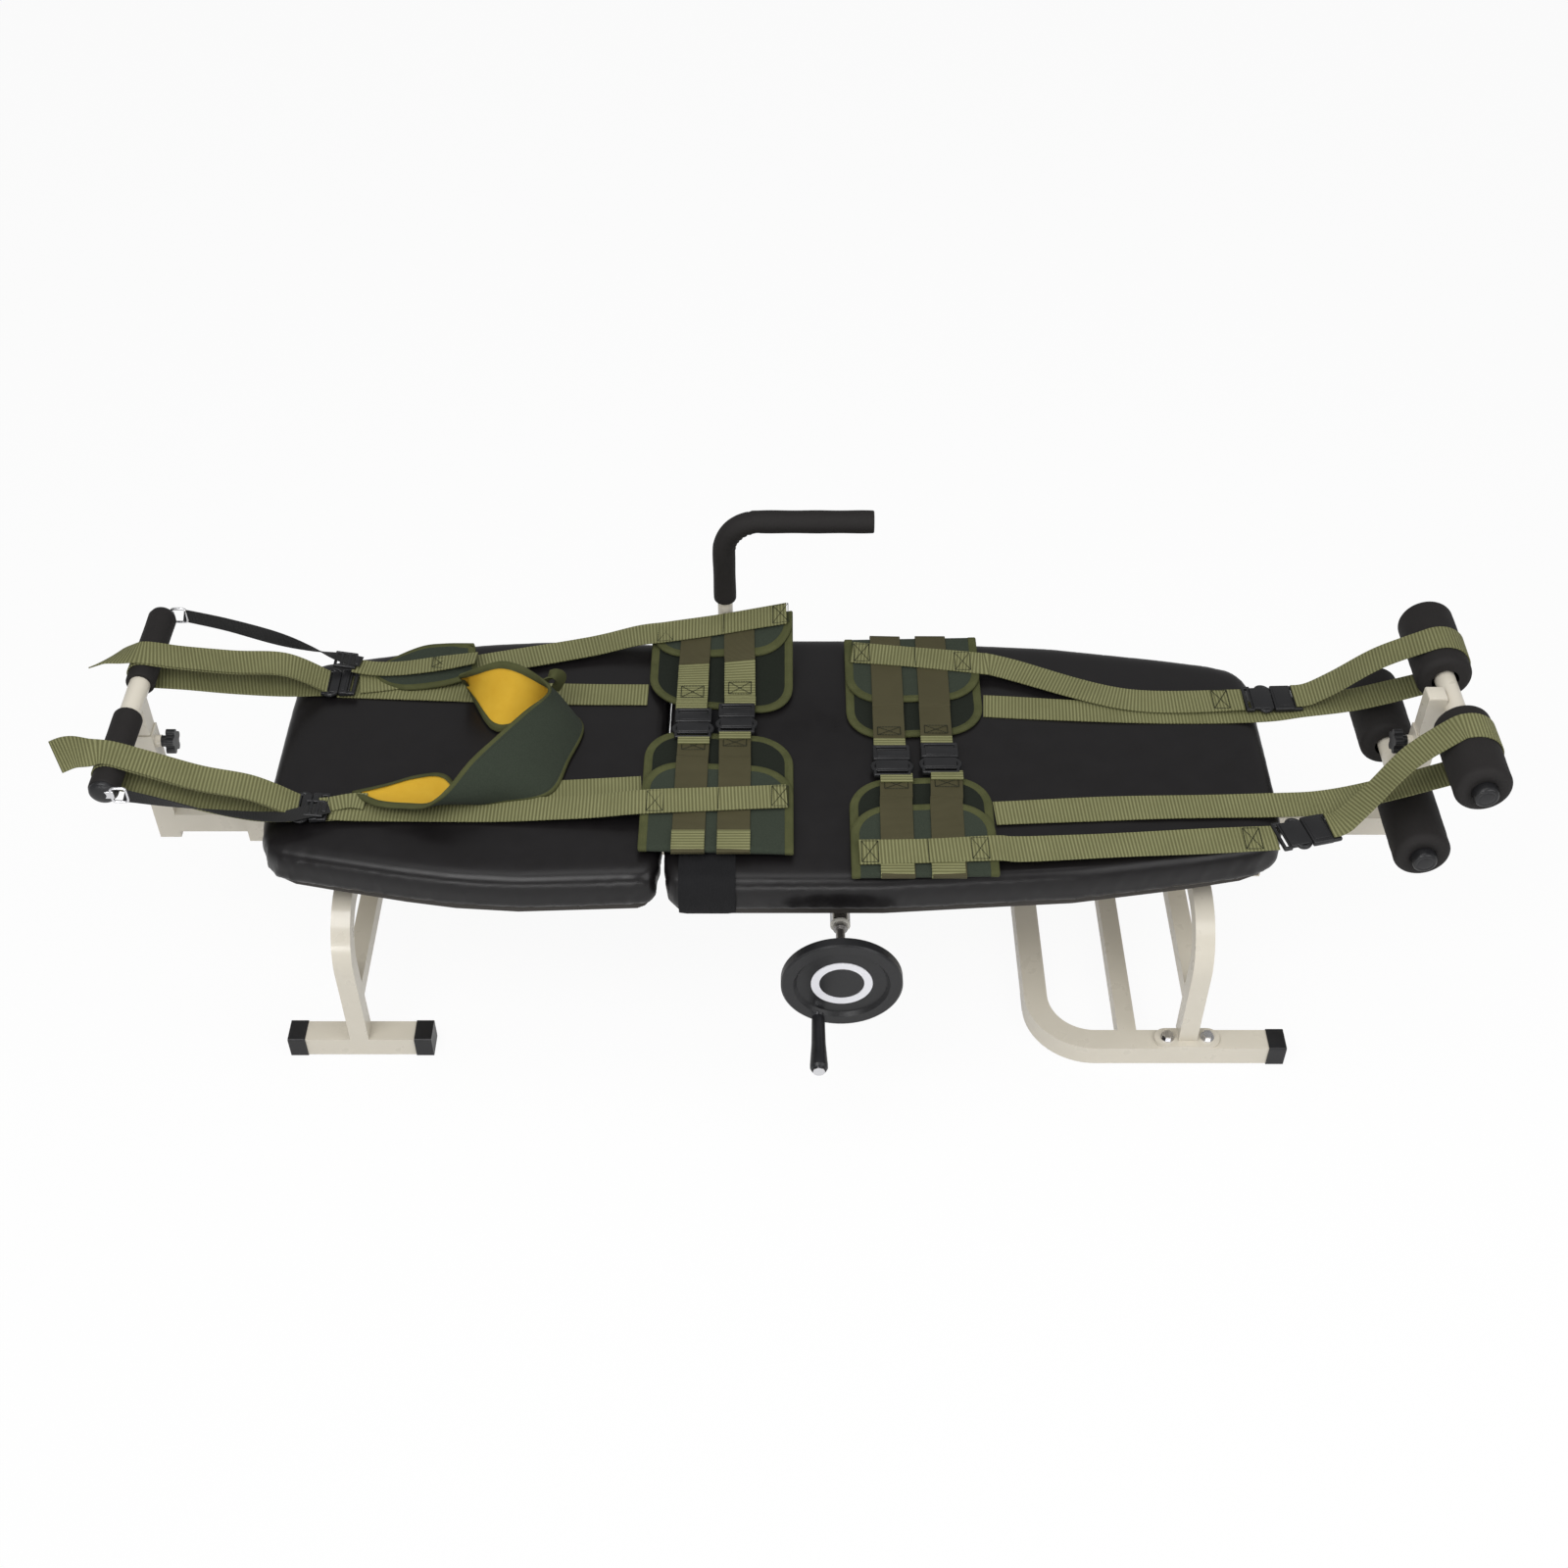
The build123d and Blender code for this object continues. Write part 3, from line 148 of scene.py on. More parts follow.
@dataclass
class Layout:
    """Turns layout millimetres into the shared frame's metres."""

    shift: Vector = field(default_factory=Vector)

    def fit(self) -> None:
        """Find the shift from the foot cushion, whose place in the layout is known."""
        low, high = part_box("foot_cushion")
        self.shift = Vector((low.x - FOOT_START * MM, (low.y + high.y) / 2, low.z - CUSHION_BOTTOM * MM))
        log.info("layout shift %s", tuple(round(v, 5) for v in self.shift))

    def place(self, point: Sequence[float]) -> Vector:
        """Give a layout point's place.

        Args:
            point: X, Y and Z in layout millimetres.

        Returns:
            The point in the shared frame, in metres.
        """
        return Vector(point) * MM + self.shift


LAYOUT = Layout()


def feed(tree: bpy.types.NodeTree, node: bpy.types.Node, values: Inputs) -> bpy.types.Node:
    """Set a node's inputs.

    Args:
        tree: The tree that the node is in.
        node: The node.
        values: For each input its value, or the socket that it reads.

    Returns:
        The node.
    """
    for key, value in values.items():
        if isinstance(value, Socket):
            tree.links.new(value, node.inputs[key])
        else:
            node.inputs[key].default_value = value
    return node


def add_node(
    tree: bpy.types.NodeTree, kind: str, values: Inputs | None = None, **settings: Any
) -> bpy.types.Node:
    """Add a shader node.

    Args:
        tree: Where it goes.
        kind: Its type, without the leading ShaderNode.
        values: What feed() puts into its inputs.
        settings: Its own settings.

    Returns:
        The node.
    """
    node = tree.nodes.new(f"ShaderNode{kind}")
    for name, value in settings.items():
        setattr(node, name, value)
    return feed(tree, node, values or {})


def add_object(name: str, data: bpy.types.ID) -> bpy.types.Object:
    """Make an object and link it to the scene.

    Args:
        name: Its name.
        data: What it shows.

    Returns:
        The object.
    """
    made = bpy.data.objects.new(name, data)
    bpy.context.scene.collection.objects.link(made)
    return made


# ---- Node groups and finishes


@dataclass
class Pattern:
    """The height and the mask of a relief, as nodes in its group."""

    group: bpy.types.NodeTree
    entry: bpy.types.Node
    wave_pitch: float = math.pi / 10

    def __post_init__(self) -> None:
        """Add the coordinates that the textures read."""
        where = add_node(self.group, "TexCoord")
        self.still = where.outputs["Object"]
        self.solid, self.woven = (
            self._output("VectorMath", {0: place, "Scale": self.entry.outputs["Scale"]}, operation="SCALE")
            for place in (where.outputs["Object"], where.outputs["UV"])
        )

    def build(self, kind: Relief) -> tuple[Socket, Socket]:
        """Build one relief.

        Args:
            kind: The relief wanted.

        Returns:
            Its height and its mask.
        """
        return {
            Relief.GRAIN: self._grain,
            Relief.RIBS: self._ribs,
            Relief.TWILL: self._twill,
            Relief.FIBRE: self._fibre,
            Relief.CELLS: self._cells,
            Relief.HIDE: self._hide,
            Relief.WOOD: self._wood,
        }[kind]()

    def _output(self, kind: str, values: Inputs, name: str | int = 0, **settings: Any) -> Socket:
        """Add a node and return one of its outputs."""
        return add_node(self.group, kind, values, **settings).outputs[name]

    def _noise(self, vector: Socket, scale: float, detail: float = 3.0, rough: float = 0.55) -> Socket:
        """Add a noise texture and return its value."""
        values = {"Vector": vector, "Scale": scale, "Detail": detail, "Roughness": rough}
        return self._output("TexNoise", values, "Fac")

    def _wave(self, axis: str, pitch: float) -> Socket:
        """Add a sine wave along one axis of the weave, of a real pitch in metres.

        At scale 1 the texture repeats every wave_pitch.
        """
        values = {"Vector": self.woven, "Scale": self.wave_pitch / pitch, "Distortion": 0.0}
        return self._output("TexWave", values, "Fac", bands_direction=axis)

    def _voronoi(self, scale: float, feature: str = "F1") -> Socket:
        """Add a cell texture and return the distance in it."""
        return self._output("TexVoronoi", {"Vector": self.solid, "Scale": scale}, "Distance", feature=feature)

    def _math(self, operation: str, first: Socket, second: Socket | float) -> Socket:
        """Add one math node and return its value."""
        return self._output("Math", {0: first, 1: second}, operation=operation)

    def _add(self, first: Socket, second: Socket, share: float = 1.0) -> Socket:
        """Add a share of one value to another.

        Args:
            first: The first value.
            second: The value added to it.
            share: How much of that is added.

        Returns:
            The sum.
        """
        if share != 1.0:
            second = self._math("MULTIPLY", second, share)
        return self._math("ADD", first, second)

    def _grain(self) -> tuple[Socket, Socket]:
        """Fine grain of paint, metal and plastic."""
        broad = self._noise(self.solid, 35.0, 4.0)
        return self._add(self._noise(self.solid, 900.0, 2.0), broad), broad

    def _ribs(self) -> tuple[Socket, Socket]:
        """Cross ribs of webbing with its threads and fuzz, and painted light and shade on them.

        Returns:
            The height and the mask; the mask paints light on the rib crests and shade in the grooves, more
            strongly in some places than in others.
        """
        ribs = self._wave("Y", 0.0054)
        height = self._add(ribs, self._wave("X", 0.0018), 0.22)
        height = self._add(height, self._noise(self.still, 1800.0, 2.0), 0.35)
        # Painted rib shade: how strongly the mask lights the crests and shades the grooves, varying slowly
        # along the strap.
        rib_shade_amount = self._math("ADD", self._noise(self.still, 14.0), 0.45)
        return height, self._math("MULTIPLY", ribs, rib_shade_amount)

    def _twill(self) -> tuple[Socket, Socket]:
        """Fine weave of tape and lining."""
        height = self._add(self._wave("X", 0.0022), self._wave("Y", 0.0013), 0.5)
        return height, self._noise(self.still, 40.0, 4.0)

    def _fibre(self) -> tuple[Socket, Socket]:
        """Fibres and clumps of felt, with light flecks.

        Returns:
            The height and the mask.
        """
        fine = self._noise(self.solid, 1500.0, 4.0, 0.7)
        height = self._add(fine, self._noise(self.solid, 170.0, 3.0, 0.6), 1.6)
        return height, self._noise(self.solid, 620.0, 4.0, 0.75)

    def _cells(self) -> tuple[Socket, Socket]:
        """Small cells of foam."""
        broad = self._noise(self.solid, 60.0)
        return self._add(self._voronoi(900.0), broad), broad

    def _hide(self) -> tuple[Socket, Socket]:
        """Pebbled leatherette with slow swells.

        Returns:
            The height and the mask.
        """
        cells = self._math("MULTIPLY", self._voronoi(620.0, "F2"), 0.5)
        height = self._add(cells, self._noise(self.solid, 9.0, 4.0), 3.2)
        return height, self._noise(self.solid, 26.0, 5.0, 0.6)

    def _wood(self) -> tuple[Socket, Socket]:
        """Grain of plywood, drawn out along X.

        Returns:
            The height and the mask.
        """
        stretch = self._output("Mapping", {"Vector": self.solid, "Scale": (3.0, 60.0, 60.0)})
        bands = self._noise(stretch, 4.0, 5.0, 0.6)
        return bands, bands


class Groups:
    """Node groups shared by the finishes. Each outputs a normal and a mask, never a shader."""

    _made: ClassVar[dict[Relief, bpy.types.NodeTree]] = {}

    @classmethod
    def relief(cls, kind: Relief) -> bpy.types.NodeTree:
        """Give the node group of one relief, made at its first use.

        Args:
            kind: The relief wanted.

        Returns:
            The group, with inputs Strength and Scale and outputs Normal and Mask.
        """
        if kind in cls._made:
            return cls._made[kind]
        group = bpy.data.node_groups.new(f"Relief {kind.value}", "ShaderNodeTree")
        for name, way, value in (
            ("Strength", "INPUT", "Float"),
            ("Scale", "INPUT", "Float"),
            ("Normal", "OUTPUT", "Vector"),
            ("Mask", "OUTPUT", "Float"),
        ):
            group.interface.new_socket(name, in_out=way, socket_type=f"NodeSocket{value}")
        entry = group.nodes.new("NodeGroupInput")
        height, mask = Pattern(group, entry).build(kind)
        raised = {"Distance": MM, "Strength": entry.outputs["Strength"], "Height": height}
        bump = add_node(group, "Bump", raised)
        leave = group.nodes.new("NodeGroupOutput")
        feed(group, leave, {"Normal": bump.outputs["Normal"], "Mask": mask})
        cls._made[kind] = group
        return group


@dataclass(frozen=True)
class Finish:
    """One finish: its colours and how its surface reflects."""

    name: str
    color: Point
    roughness: float
    metallic: float = 0.0
    relief: Relief = Relief.GRAIN
    strength: float = 0.1
    scale: float = 1.0
    second: Point | None = None
    wander: float = 0.08
    coat: float = 0.0
    sheen: float = 0.0
    specular: float = 0.5
    slot: str | None = None

    coat_roughness: float = 0.12
    sheen_roughness: float = 0.5
    mask_span: Pair = (0.3, 0.7)

    def material(self) -> bpy.types.Material:
        """Give the finish's material, made at its first use.

        Returns:
            The material.
        """
        made = bpy.data.materials.get(self.name)
        if made is not None:
            return made
        made = bpy.data.materials.new(self.name)
        made.use_nodes = True
        tree = made.node_tree
        size = {"Strength": self.strength, "Scale": self.scale}
        relief = add_node(tree, "Group", size, node_tree=Groups.relief(self.relief))
        mask = relief.outputs["Mask"]
        colors = {"Factor": mask, "A": (*self.color, 1.0), "B": (*(self.second or self.color), 1.0)}
        mix = add_node(tree, "Mix", colors, data_type="RGBA")
        span = {
            "Value": mask,
            "From Min": self.mask_span[0],
            "From Max": self.mask_span[1],
            "To Min": max(self.roughness - self.wander / 2, 0.02),
            "To Max": min(self.roughness + self.wander / 2, 1.0),
        }
        surface = {
            "Metallic": self.metallic,
            "Specular IOR Level": self.specular,
            "Coat Weight": self.coat,
            "Coat Roughness": self.coat_roughness,
            "Sheen Weight": self.sheen,
            "Sheen Roughness": self.sheen_roughness,
            "Base Color": mix.outputs["Result"],
            "Roughness": add_node(tree, "MapRange", span).outputs["Result"],
            "Normal": relief.outputs["Normal"],
        }
        feed(tree, tree.nodes["Principled BSDF"], surface)
        log.info("finish %s", self.name)
        return made


class Finishes:
    """Every finish of the bed."""

    CREAM = Finish(
        "Cream paint", (0.675, 0.63, 0.535), 0.3,
        strength=0.05, second=(0.64, 0.595, 0.5), coat=0.4, slot="cream_paint",
    )
    CHROME = Finish("Chrome", (0.7, 0.7, 0.72), 0.13, 1.0, strength=0.02, wander=0.06, slot="chrome_steel")
    STEEL = Finish("Plain steel", (0.42, 0.41, 0.4), 0.38, 1.0, strength=0.08, slot="plain_steel")
    PLASTIC = Finish(
        "Black plastic", (0.011, 0.011, 0.0115), 0.32,
        strength=0.12, second=(0.016, 0.016, 0.018), specular=0.35, slot="black_plastic",
    )
    NYLON = Finish("Nylon", (0.66, 0.64, 0.58), 0.5, strength=0.06, slot="nylon")
    FOAM = Finish(
        "Black foam", (0.0095, 0.0082, 0.0078), 0.75, relief=Relief.CELLS,
        strength=0.35, second=(0.0165, 0.0145, 0.014), specular=0.3, slot="black_foam",
    )
    HIDE = Finish(
        "Leatherette", (0.006, 0.0052, 0.0055), 0.32, relief=Relief.HIDE,
        strength=0.05, second=(0.009, 0.008, 0.0086), wander=0.1, specular=0.3, slot="leatherette",
    )
    WOOD = Finish(
        "Stained plywood", (0.02, 0.017, 0.014), 0.7, relief=Relief.WOOD,
        strength=0.1, second=(0.035, 0.028, 0.022), slot="plywood",
    )
    FELT = Finish(
        "Green felt", (0.015, 0.021, 0.0155), 0.95, relief=Relief.FIBRE,
        strength=0.6, second=(0.055, 0.066, 0.047), sheen=0.03, specular=0.1, slot="green_felt",
    )
    # The green felt darkened: painted shade on the upper face of each pad's lower layer, inside the fold and
    # under the flap and the belts.
    INSIDE = Finish(
        "Dark felt", (0.0065, 0.0085, 0.0062), 0.95, relief=Relief.FIBRE,
        strength=0.6, second=(0.021, 0.025, 0.018), sheen=0.03, specular=0.1,
    )
    BINDING = Finish(
        "Edge binding", (0.044, 0.049, 0.018), 0.85, relief=Relief.TWILL,
        strength=0.35, second=(0.094, 0.098, 0.04), specular=0.15,
    )
    # Olive, dark and black webbing: the first colour is the painted shade in the rib grooves, the second the
    # painted light on the rib crests.
    OLIVE = Finish(
        "Olive webbing", (0.11, 0.11, 0.044), 0.72, relief=Relief.RIBS,
        strength=0.8, second=(0.24, 0.24, 0.116), specular=0.25, slot="olive_webbing",
    )
    DARK = Finish(
        "Dark webbing", (0.04, 0.035, 0.014), 0.7, relief=Relief.RIBS,
        strength=0.4, scale=2.3, second=(0.082, 0.073, 0.035), specular=0.25, slot="dark_webbing",
    )
    TAPE = Finish(
        "Black webbing", (0.009, 0.009, 0.009), 0.75, relief=Relief.RIBS,
        strength=0.4, scale=2.4, second=(0.024, 0.024, 0.024), specular=0.3, slot="black_webbing",
    )
    ELASTIC = Finish(
        "Elastic", (0.006, 0.006, 0.007), 0.85, relief=Relief.TWILL,
        strength=0.5, second=(0.013, 0.013, 0.014), specular=0.2, slot="elastic",
    )
    WHITE = Finish("White plastic", (0.8, 0.8, 0.84), 0.25, strength=0.02, slot="white_plastic")
    LINING = Finish(
        "Yellow lining", (0.6, 0.34, 0.022), 0.85, relief=Relief.TWILL,
        strength=0.25, scale=1.6, second=(0.7, 0.45, 0.05), specular=0.15,
    )
    THREAD = Finish("Dark thread", (0.02, 0.022, 0.012), 0.7, strength=0.2, specular=0.2)

    @classmethod
    def of_slot(cls, slot: str) -> Finish:
        """Find the finish that answers to one of the record's slots.

        Args:
            slot: The slot's name.

        Returns:
            The finish.
        """
        return next(value for value in vars(cls).values() if isinstance(value, Finish) and value.slot == slot)


# ---- Making pieces


@dataclass
class Piece:
    """A mesh under construction, in layout millimetres."""

    name: str
    finish: Finish
    mesh: bmesh.types.BMesh = field(default_factory=bmesh.new)
    extra: list[Finish] = field(default_factory=list)
    smooth: float = 40.0
    sprung: bool = False

    def __post_init__(self) -> None:
        """Add the layer that holds the texture places."""
        self.uv = self.mesh.loops.layers.uv.new("UVMap")

    def grid(
        self,
        rows: Sequence[Sequence[Vector]],
        wrap_u: bool = False,
        wrap_v: bool = False,
        slot: int = 0,
        uv: Sequence[Sequence[Pair]] | None = None,
    ) -> list[bmesh.types.BMFace]:
        """Add a grid of points as quads.

        Args:
            rows: Rows of points, all of one length.
            wrap_u: Whether each row closes on itself.
            wrap_v: Whether the last row joins the first.
            slot: The material index of the faces.
            uv: A texture place for each point, in metres.

        Returns:
            The new faces.
        """
        grid = [[self.mesh.verts.new(point) for point in row] for row in rows]
        high, wide = len(grid), len(grid[0])
        faces = []
        for v in range(high if wrap_v else high - 1):
            for u in range(wide if wrap_u else wide - 1):
                after_v, after_u = (v + 1) % high, (u + 1) % wide
                spots = [(v, u), (v, after_u), (after_v, after_u), (after_v, u)]
                face = self.mesh.faces.new([grid[a][b] for a, b in spots])
                face.material_index = slot
                if uv is not None:
                    for loop, (a, b) in zip(face.loops, spots):
                        loop[self.uv].uv = uv[a][b]
                faces.append(face)
        return faces

    def block(self, low: Sequence[float], high: Sequence[float], round_by: float) -> None:
        """Add a box with rounded edges.

        Args:
            low: Its lowest corner.
            high: Its highest corner.
            round_by: The edge radius.
        """
        low_v, high_v = Vector(low), Vector(high)
        matrix = Matrix.Translation((low_v + high_v) / 2) @ Matrix.Diagonal((*(high_v - low_v), 1.0))
        made = bmesh.ops.create_cube(self.mesh, size=1.0, matrix=matrix)
        edges = list({edge for vert in made["verts"] for edge in vert.link_edges})
        bmesh.ops.bevel(
            self.mesh, geom=edges, offset=round_by, segments=3, profile=0.5, affect="EDGES", material=-1
        )

    def tube(
        self, path: Sequence[Vector], radius: float | Callable[[float], float], sides: int = 12, slot: int = 0
    ) -> None:
        """Add a round tube along a path, with flat ends.

        Args:
            path: The centreline.
            radius: The radius, or a function of the share of the path that gives it.
            sides: Points round the tube.
            slot: The material index.
        """
        frames = Curve(path).frames(CROSSWAYS)
        last = max(len(frames) - 1, 1)
        rows = []
        for place, (centre, _, side, up) in enumerate(frames):
            reach = radius(place / last) if callable(radius) else radius
            rows.append([centre + out * reach for out in spokes(side, up, sides)])
        self.close_ends(self.grid(rows, wrap_u=True, slot=slot), sides, slot)

    def cap(self, verts: Sequence[bmesh.types.BMVert], slot: int = 0) -> None:
        """Close a ring of points with one face."""
        face = self.mesh.faces.new(list(dict.fromkeys(verts)))
        face.material_index = slot

    def close_ends(self, faces: Sequence[bmesh.types.BMFace], count: int, slot: int = 0) -> None:
        """Close both ends of a grid whose rows are rings.

        Args:
            faces: The grid's faces.
            count: Points in each row.
            slot: The material index.
        """
        self.cap([faces[k].verts[0] for k in range(count)], slot)
        self.cap([faces[-count + k].verts[3] for k in reversed(range(count))], slot)

    def lathe(self, profile: Sequence[Pair], centre: Point, steps: int = 48, slot: int = 0) -> None:
        """Turn a profile round a line along Y.

        Args:
            profile: Pairs of distance along the line and radius.
            centre: The line's point at distance 0.
            steps: Steps of the turn.
            slot: The material index.
        """
        before = set(self.mesh.faces)
        points = [Vector(centre) + Vector((0.0, along, radius)) for along, radius in profile]
        verts = [self.mesh.verts.new(point) for point in points]
        edges = [self.mesh.edges.new(pair) for pair in zip(verts, verts[1:])]
        bmesh.ops.spin(
            self.mesh, geom=verts + edges, cent=Vector(centre), axis=CROSSWAYS, angle=TURN, steps=steps,
            use_merge=True, use_duplicate=False,
        )
        for face in set(self.mesh.faces) - before:
            face.material_index = slot

    def move(self, kept: set[bmesh.types.BMVert], turn: Matrix, centre: Point) -> None:
        """Turn and move all but some of the points."""
        for vert in set(self.mesh.verts) - kept:
            vert.co = turn @ vert.co + Vector(centre)

    def done(self, body: Body, *stands_for: str) -> bpy.types.Object:
        """Make the object, in its place in the shared frame.

        Args:
            body: The CAD body it rides on; given two bodies and two points instead, it rides on none and
                stays fixed where it is made.
            stands_for: CAD nodes that it replaces.

        Returns:
            The object.
        """
        for vert in self.mesh.verts:
            if self.sprung:
                vert.co.z += spring_back(vert.co.x, vert.co.y)
            vert.co = LAYOUT.place(vert.co)
        bmesh.ops.remove_doubles(self.mesh, verts=self.mesh.verts, dist=1e-6)
        bmesh.ops.recalc_face_normals(self.mesh, faces=self.mesh.faces)
        sharp = math.radians(self.smooth)
        for edge in self.mesh.edges:
            if len(edge.link_faces) == 2 and edge.calc_face_angle(0.0) > sharp:
                edge.smooth = False
        for face in self.mesh.faces:
            face.smooth = True
        data = bpy.data.meshes.new(self.name)
        self.mesh.to_mesh(data)
        self.mesh.free()
        for finish in (self.finish, *self.extra):
            data.materials.append(finish.material())
        made = add_object(self.name, data)
        log.info("piece %s: %d faces", self.name, len(data.polygons))
        if isinstance(body, str):
            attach(made, body)
        else:
            first, second, start, end = body
            tuple(LAYOUT.place(start))
            tuple(LAYOUT.place(end))
            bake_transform(made)
        if stands_for:
            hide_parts(*stands_for)
        return made


def spokes(side: Vector, up: Vector, count: int) -> Iterator[Vector]:
    """Give unit vectors all round, from a side and an up vector."""
    for k in range(count):
        yield side * math.cos(TURN * k / count) + up * math.sin(TURN * k / count)


def bar_wrap(centre: Point, radius: float, start: float, sweep: float, steps: int) -> list[Point]:
    """Give the points of an arc in the XZ plane.

    Args:
        centre: The arc's centre.
        radius: Its radius.
        start: The angle of its first point, in degrees from +X towards +Z.
        sweep: The angle from its first to its last point.
        steps: How many steps it takes.

    Returns:
        The points, one more than the steps.
    """
    x, y, z = centre
    angles = (math.radians(start + sweep * k / steps) for k in range(steps + 1))
    return [(x + radius * math.cos(angle), y, z + radius * math.sin(angle)) for angle in angles]


@dataclass
class Curve:
    """A smooth line through points."""

    points: Sequence[Sequence[float]]

    def sampled(
        self, step: float, extras: Sequence[Sequence[float]] | None = None
    ) -> tuple[list[Vector], list[list[float]]]:
        """Sample the line evenly enough, carrying other values along.

        Args:
            step: The longest step in millimetres.
            extras: A row of values for each point, carried smoothly along the line.

        Returns:
            The samples, and the values at each.
        """
        base = [Vector(point) for point in self.points]
        rows = [list(row) for row in extras] if extras else [[] for _ in base]
        last = len(base) - 1
        out: list[Vector] = []
        values: list[list[float]] = []
        for place in range(last):
            near = (max(place - 1, 0), place, place + 1, min(place + 2, last))
            points = [base[k] for k in near]
            count = max(math.ceil((points[2] - points[1]).length / step), 1)
            for k in range(count):
                out.append(self._cubic(*points, k / count))
                values.append([self._cubic(*four, k / count) for four in zip(*(rows[n] for n in near))])
        return [*out, base[-1]], [*values, rows[-1]]

    @staticmethod
    def _cubic(
        p0: Vector | float, p1: Vector | float, p2: Vector | float, p3: Vector | float, t: float
    ) -> Vector | float:
        """Catmull-Rom between the middle two of four values.

        Args:
            p0: The value before them.
            p1: The first of them.
            p2: The second.
            p3: The value after them.
            t: The share of the way between them.

        Returns:
            The value there.
        """
        m1, m2 = (p2 - p0) * 0.5, (p3 - p1) * 0.5
        square, cube = t * t, t * t * t
        start, end = 2 * cube - 3 * square + 1, 3 * square - 2 * cube
        return p1 * start + m1 * (cube - 2 * square + t) + p2 * end + m2 * (cube - square)

    def frames(self, hint: Vector) -> list[tuple[Vector, Vector, Vector, Vector]]:
        """Give each point with its direction, side and up vectors.

        Args:
            hint: The side vector at the start, as near as it can be kept.

        Returns:
            Rows of point, direction, side and up.
        """
        points = [Vector(point) for point in self.points]
        rows = []
        side = hint.copy()
        for point, along in zip(points, headings(points)):
            side = side - along * side.dot(along)
            if side.length < 1e-6:
                side = along.orthogonal()
            side.normalize()
            rows.append((point, along, side.copy(), along.cross(side).normalized()))
        return rows


def headings(points: Sequence[Vector]) -> list[Vector]:
    """Give the direction of a line at each of its points."""
    last = len(points) - 1
    return [(points[min(k + 1, last)] - points[max(k - 1, 0)]).normalized() for k in range(last + 1)]


def column_at(rows: Sequence[Sequence[float]], x: float, column: int) -> float:
    """Read a column of a table whose rows start with X, between its rows."""
    return float(np.interp(x, [row[0] for row in rows], [row[column] for row in rows]))


@dataclass
class Ribbon:
    """A flat woven strap that follows stations, each a point with a lean in degrees about the line."""

    stations: Sequence[Sequence[float]]
    width: float = WEB_WIDTH
    thickness: float = WEBBING
    wobble: float = 0.0
    seed: int = 1
    across: Vector = field(default_factory=CROSSWAYS.copy)
    step: float = 5.0

    columns: int = 8
    edge: float = 0.35
    ripple: float = 47.0

    @staticmethod
    def _eased(rows: Sequence[Vector], passes: int) -> list[Vector]:
        """Even out neighbouring vectors, the ends kept.

        Args:
            rows: The vectors.
            passes: How many times.

        Returns:
            As many vectors.
        """
        rows = list(rows)
        for _ in range(passes):
            inner = [(a + b * 2 + c) * 0.25 for a, b, c in zip(rows, rows[1:], rows[2:])]
            rows = [rows[0], *inner, rows[-1]]
        return rows

    def _section(self) -> list[tuple[float, int]]:
        """Give the strap's section: how far across each point is, and on which face.

        Returns:
            Pairs of place across and face: 1 above, 0 at an edge, -1 below.
        """
        half = self.width / 2
        upper = [(-half + self.width * k / self.columns, 1) for k in range(self.columns + 1)]
        return [(-half, 0), *upper, (half, 0), *((-across, -1) for across, _ in upper)]

    def add(self, piece: Piece, slot: int = 0) -> None:
        """Add the strap to a piece.

        Args:
            piece: Where it goes.
            slot: The material index.
        """
        leans = [[row[3] if len(row) > 3 else 0.0] for row in self.stations]
        points, values = Curve([row[:3] for row in self.stations]).sampled(self.step, leans)
        points = self._eased(points, 3)
        ways = headings(points)
        sides = self._eased([(self.across - way * self.across.dot(way)).normalized() for way in ways], 6)
        phase = random.Random(self.seed).uniform(0, TURN)
        half = self.width / 2
        section = self._section()
        rows, texture = [], []
        run = 0.0
        previous = points[0]
        for point, along, side, (lean,) in zip(points, ways, sides, values):
            run += (point - previous).length
            previous = point
            side = (side - along * side.dot(along)).normalized()
            side = Matrix.Rotation(math.radians(lean), 3, along) @ side
            up = along.cross(side).normalized()
            ripple = self.wobble * math.sin(run / self.ripple + phase) * 0.5
            row = []
            for across, face in section:
                inset = self.edge if abs(across) >= half - 1e-6 and face else 0.0
                lift = ripple * across / half + face * self.thickness / 2
                row.append(point + side * (across - math.copysign(inset, across)) + up * lift)
            rows.append(row)
            texture.append([(across * MM, run * MM) for across, _ in section])
        piece.close_ends(piece.grid(rows, wrap_u=True, slot=slot, uv=texture), len(section), slot)


@dataclass
class Stitches:
    """A line of sewing thread: short stitches along a path."""

    path: Sequence[Sequence[float]]
    pitch: float = 4.0
    radius: float = 0.62

    def add(self, piece: Piece, slot: int = 0) -> None:
        """Add the stitches to a piece.

        Args:
            piece: Where they go.
            slot: The material index.
        """
        points, _ = Curve(self.path).sampled(self.pitch)
        for a, b in zip(points, points[1:]):
            if (b - a).length >= 0.5:
                start, end = a.lerp(b, 0.1), a.lerp(b, 0.86)
                middle = start.lerp(end, 0.5) + Vector((0, 0, 0.12))
                piece.tube([start, middle, end], self.radius, 4, slot)


def box_stitch(
    piece: Piece, centre: Point, half_x: float, half_y: float, slot: int, lean: float = 0.0
) -> None:
    """Sew a box with an X in it onto a flat strap.

    Args:
        piece: Where the stitches go.
        centre: The middle of the box, on the strap's face.
        half_x: Half the box's reach along X.
        half_y: Half its reach along Y.
        slot: The material index of the thread.
        lean: Rise along X per unit.
    """
    x, y, z = centre
    signs = ((-1, -1), (1, -1), (1, 1), (-1, 1))
    corner = [(x + a * half_x, y + b * half_y, z + a * half_x * lean) for a, b in signs]
    for a, b in ((0, 1), (1, 2), (2, 3), (3, 0), (0, 2), (1, 3)):
        Stitches((corner[a], corner[b])).add(piece, slot)


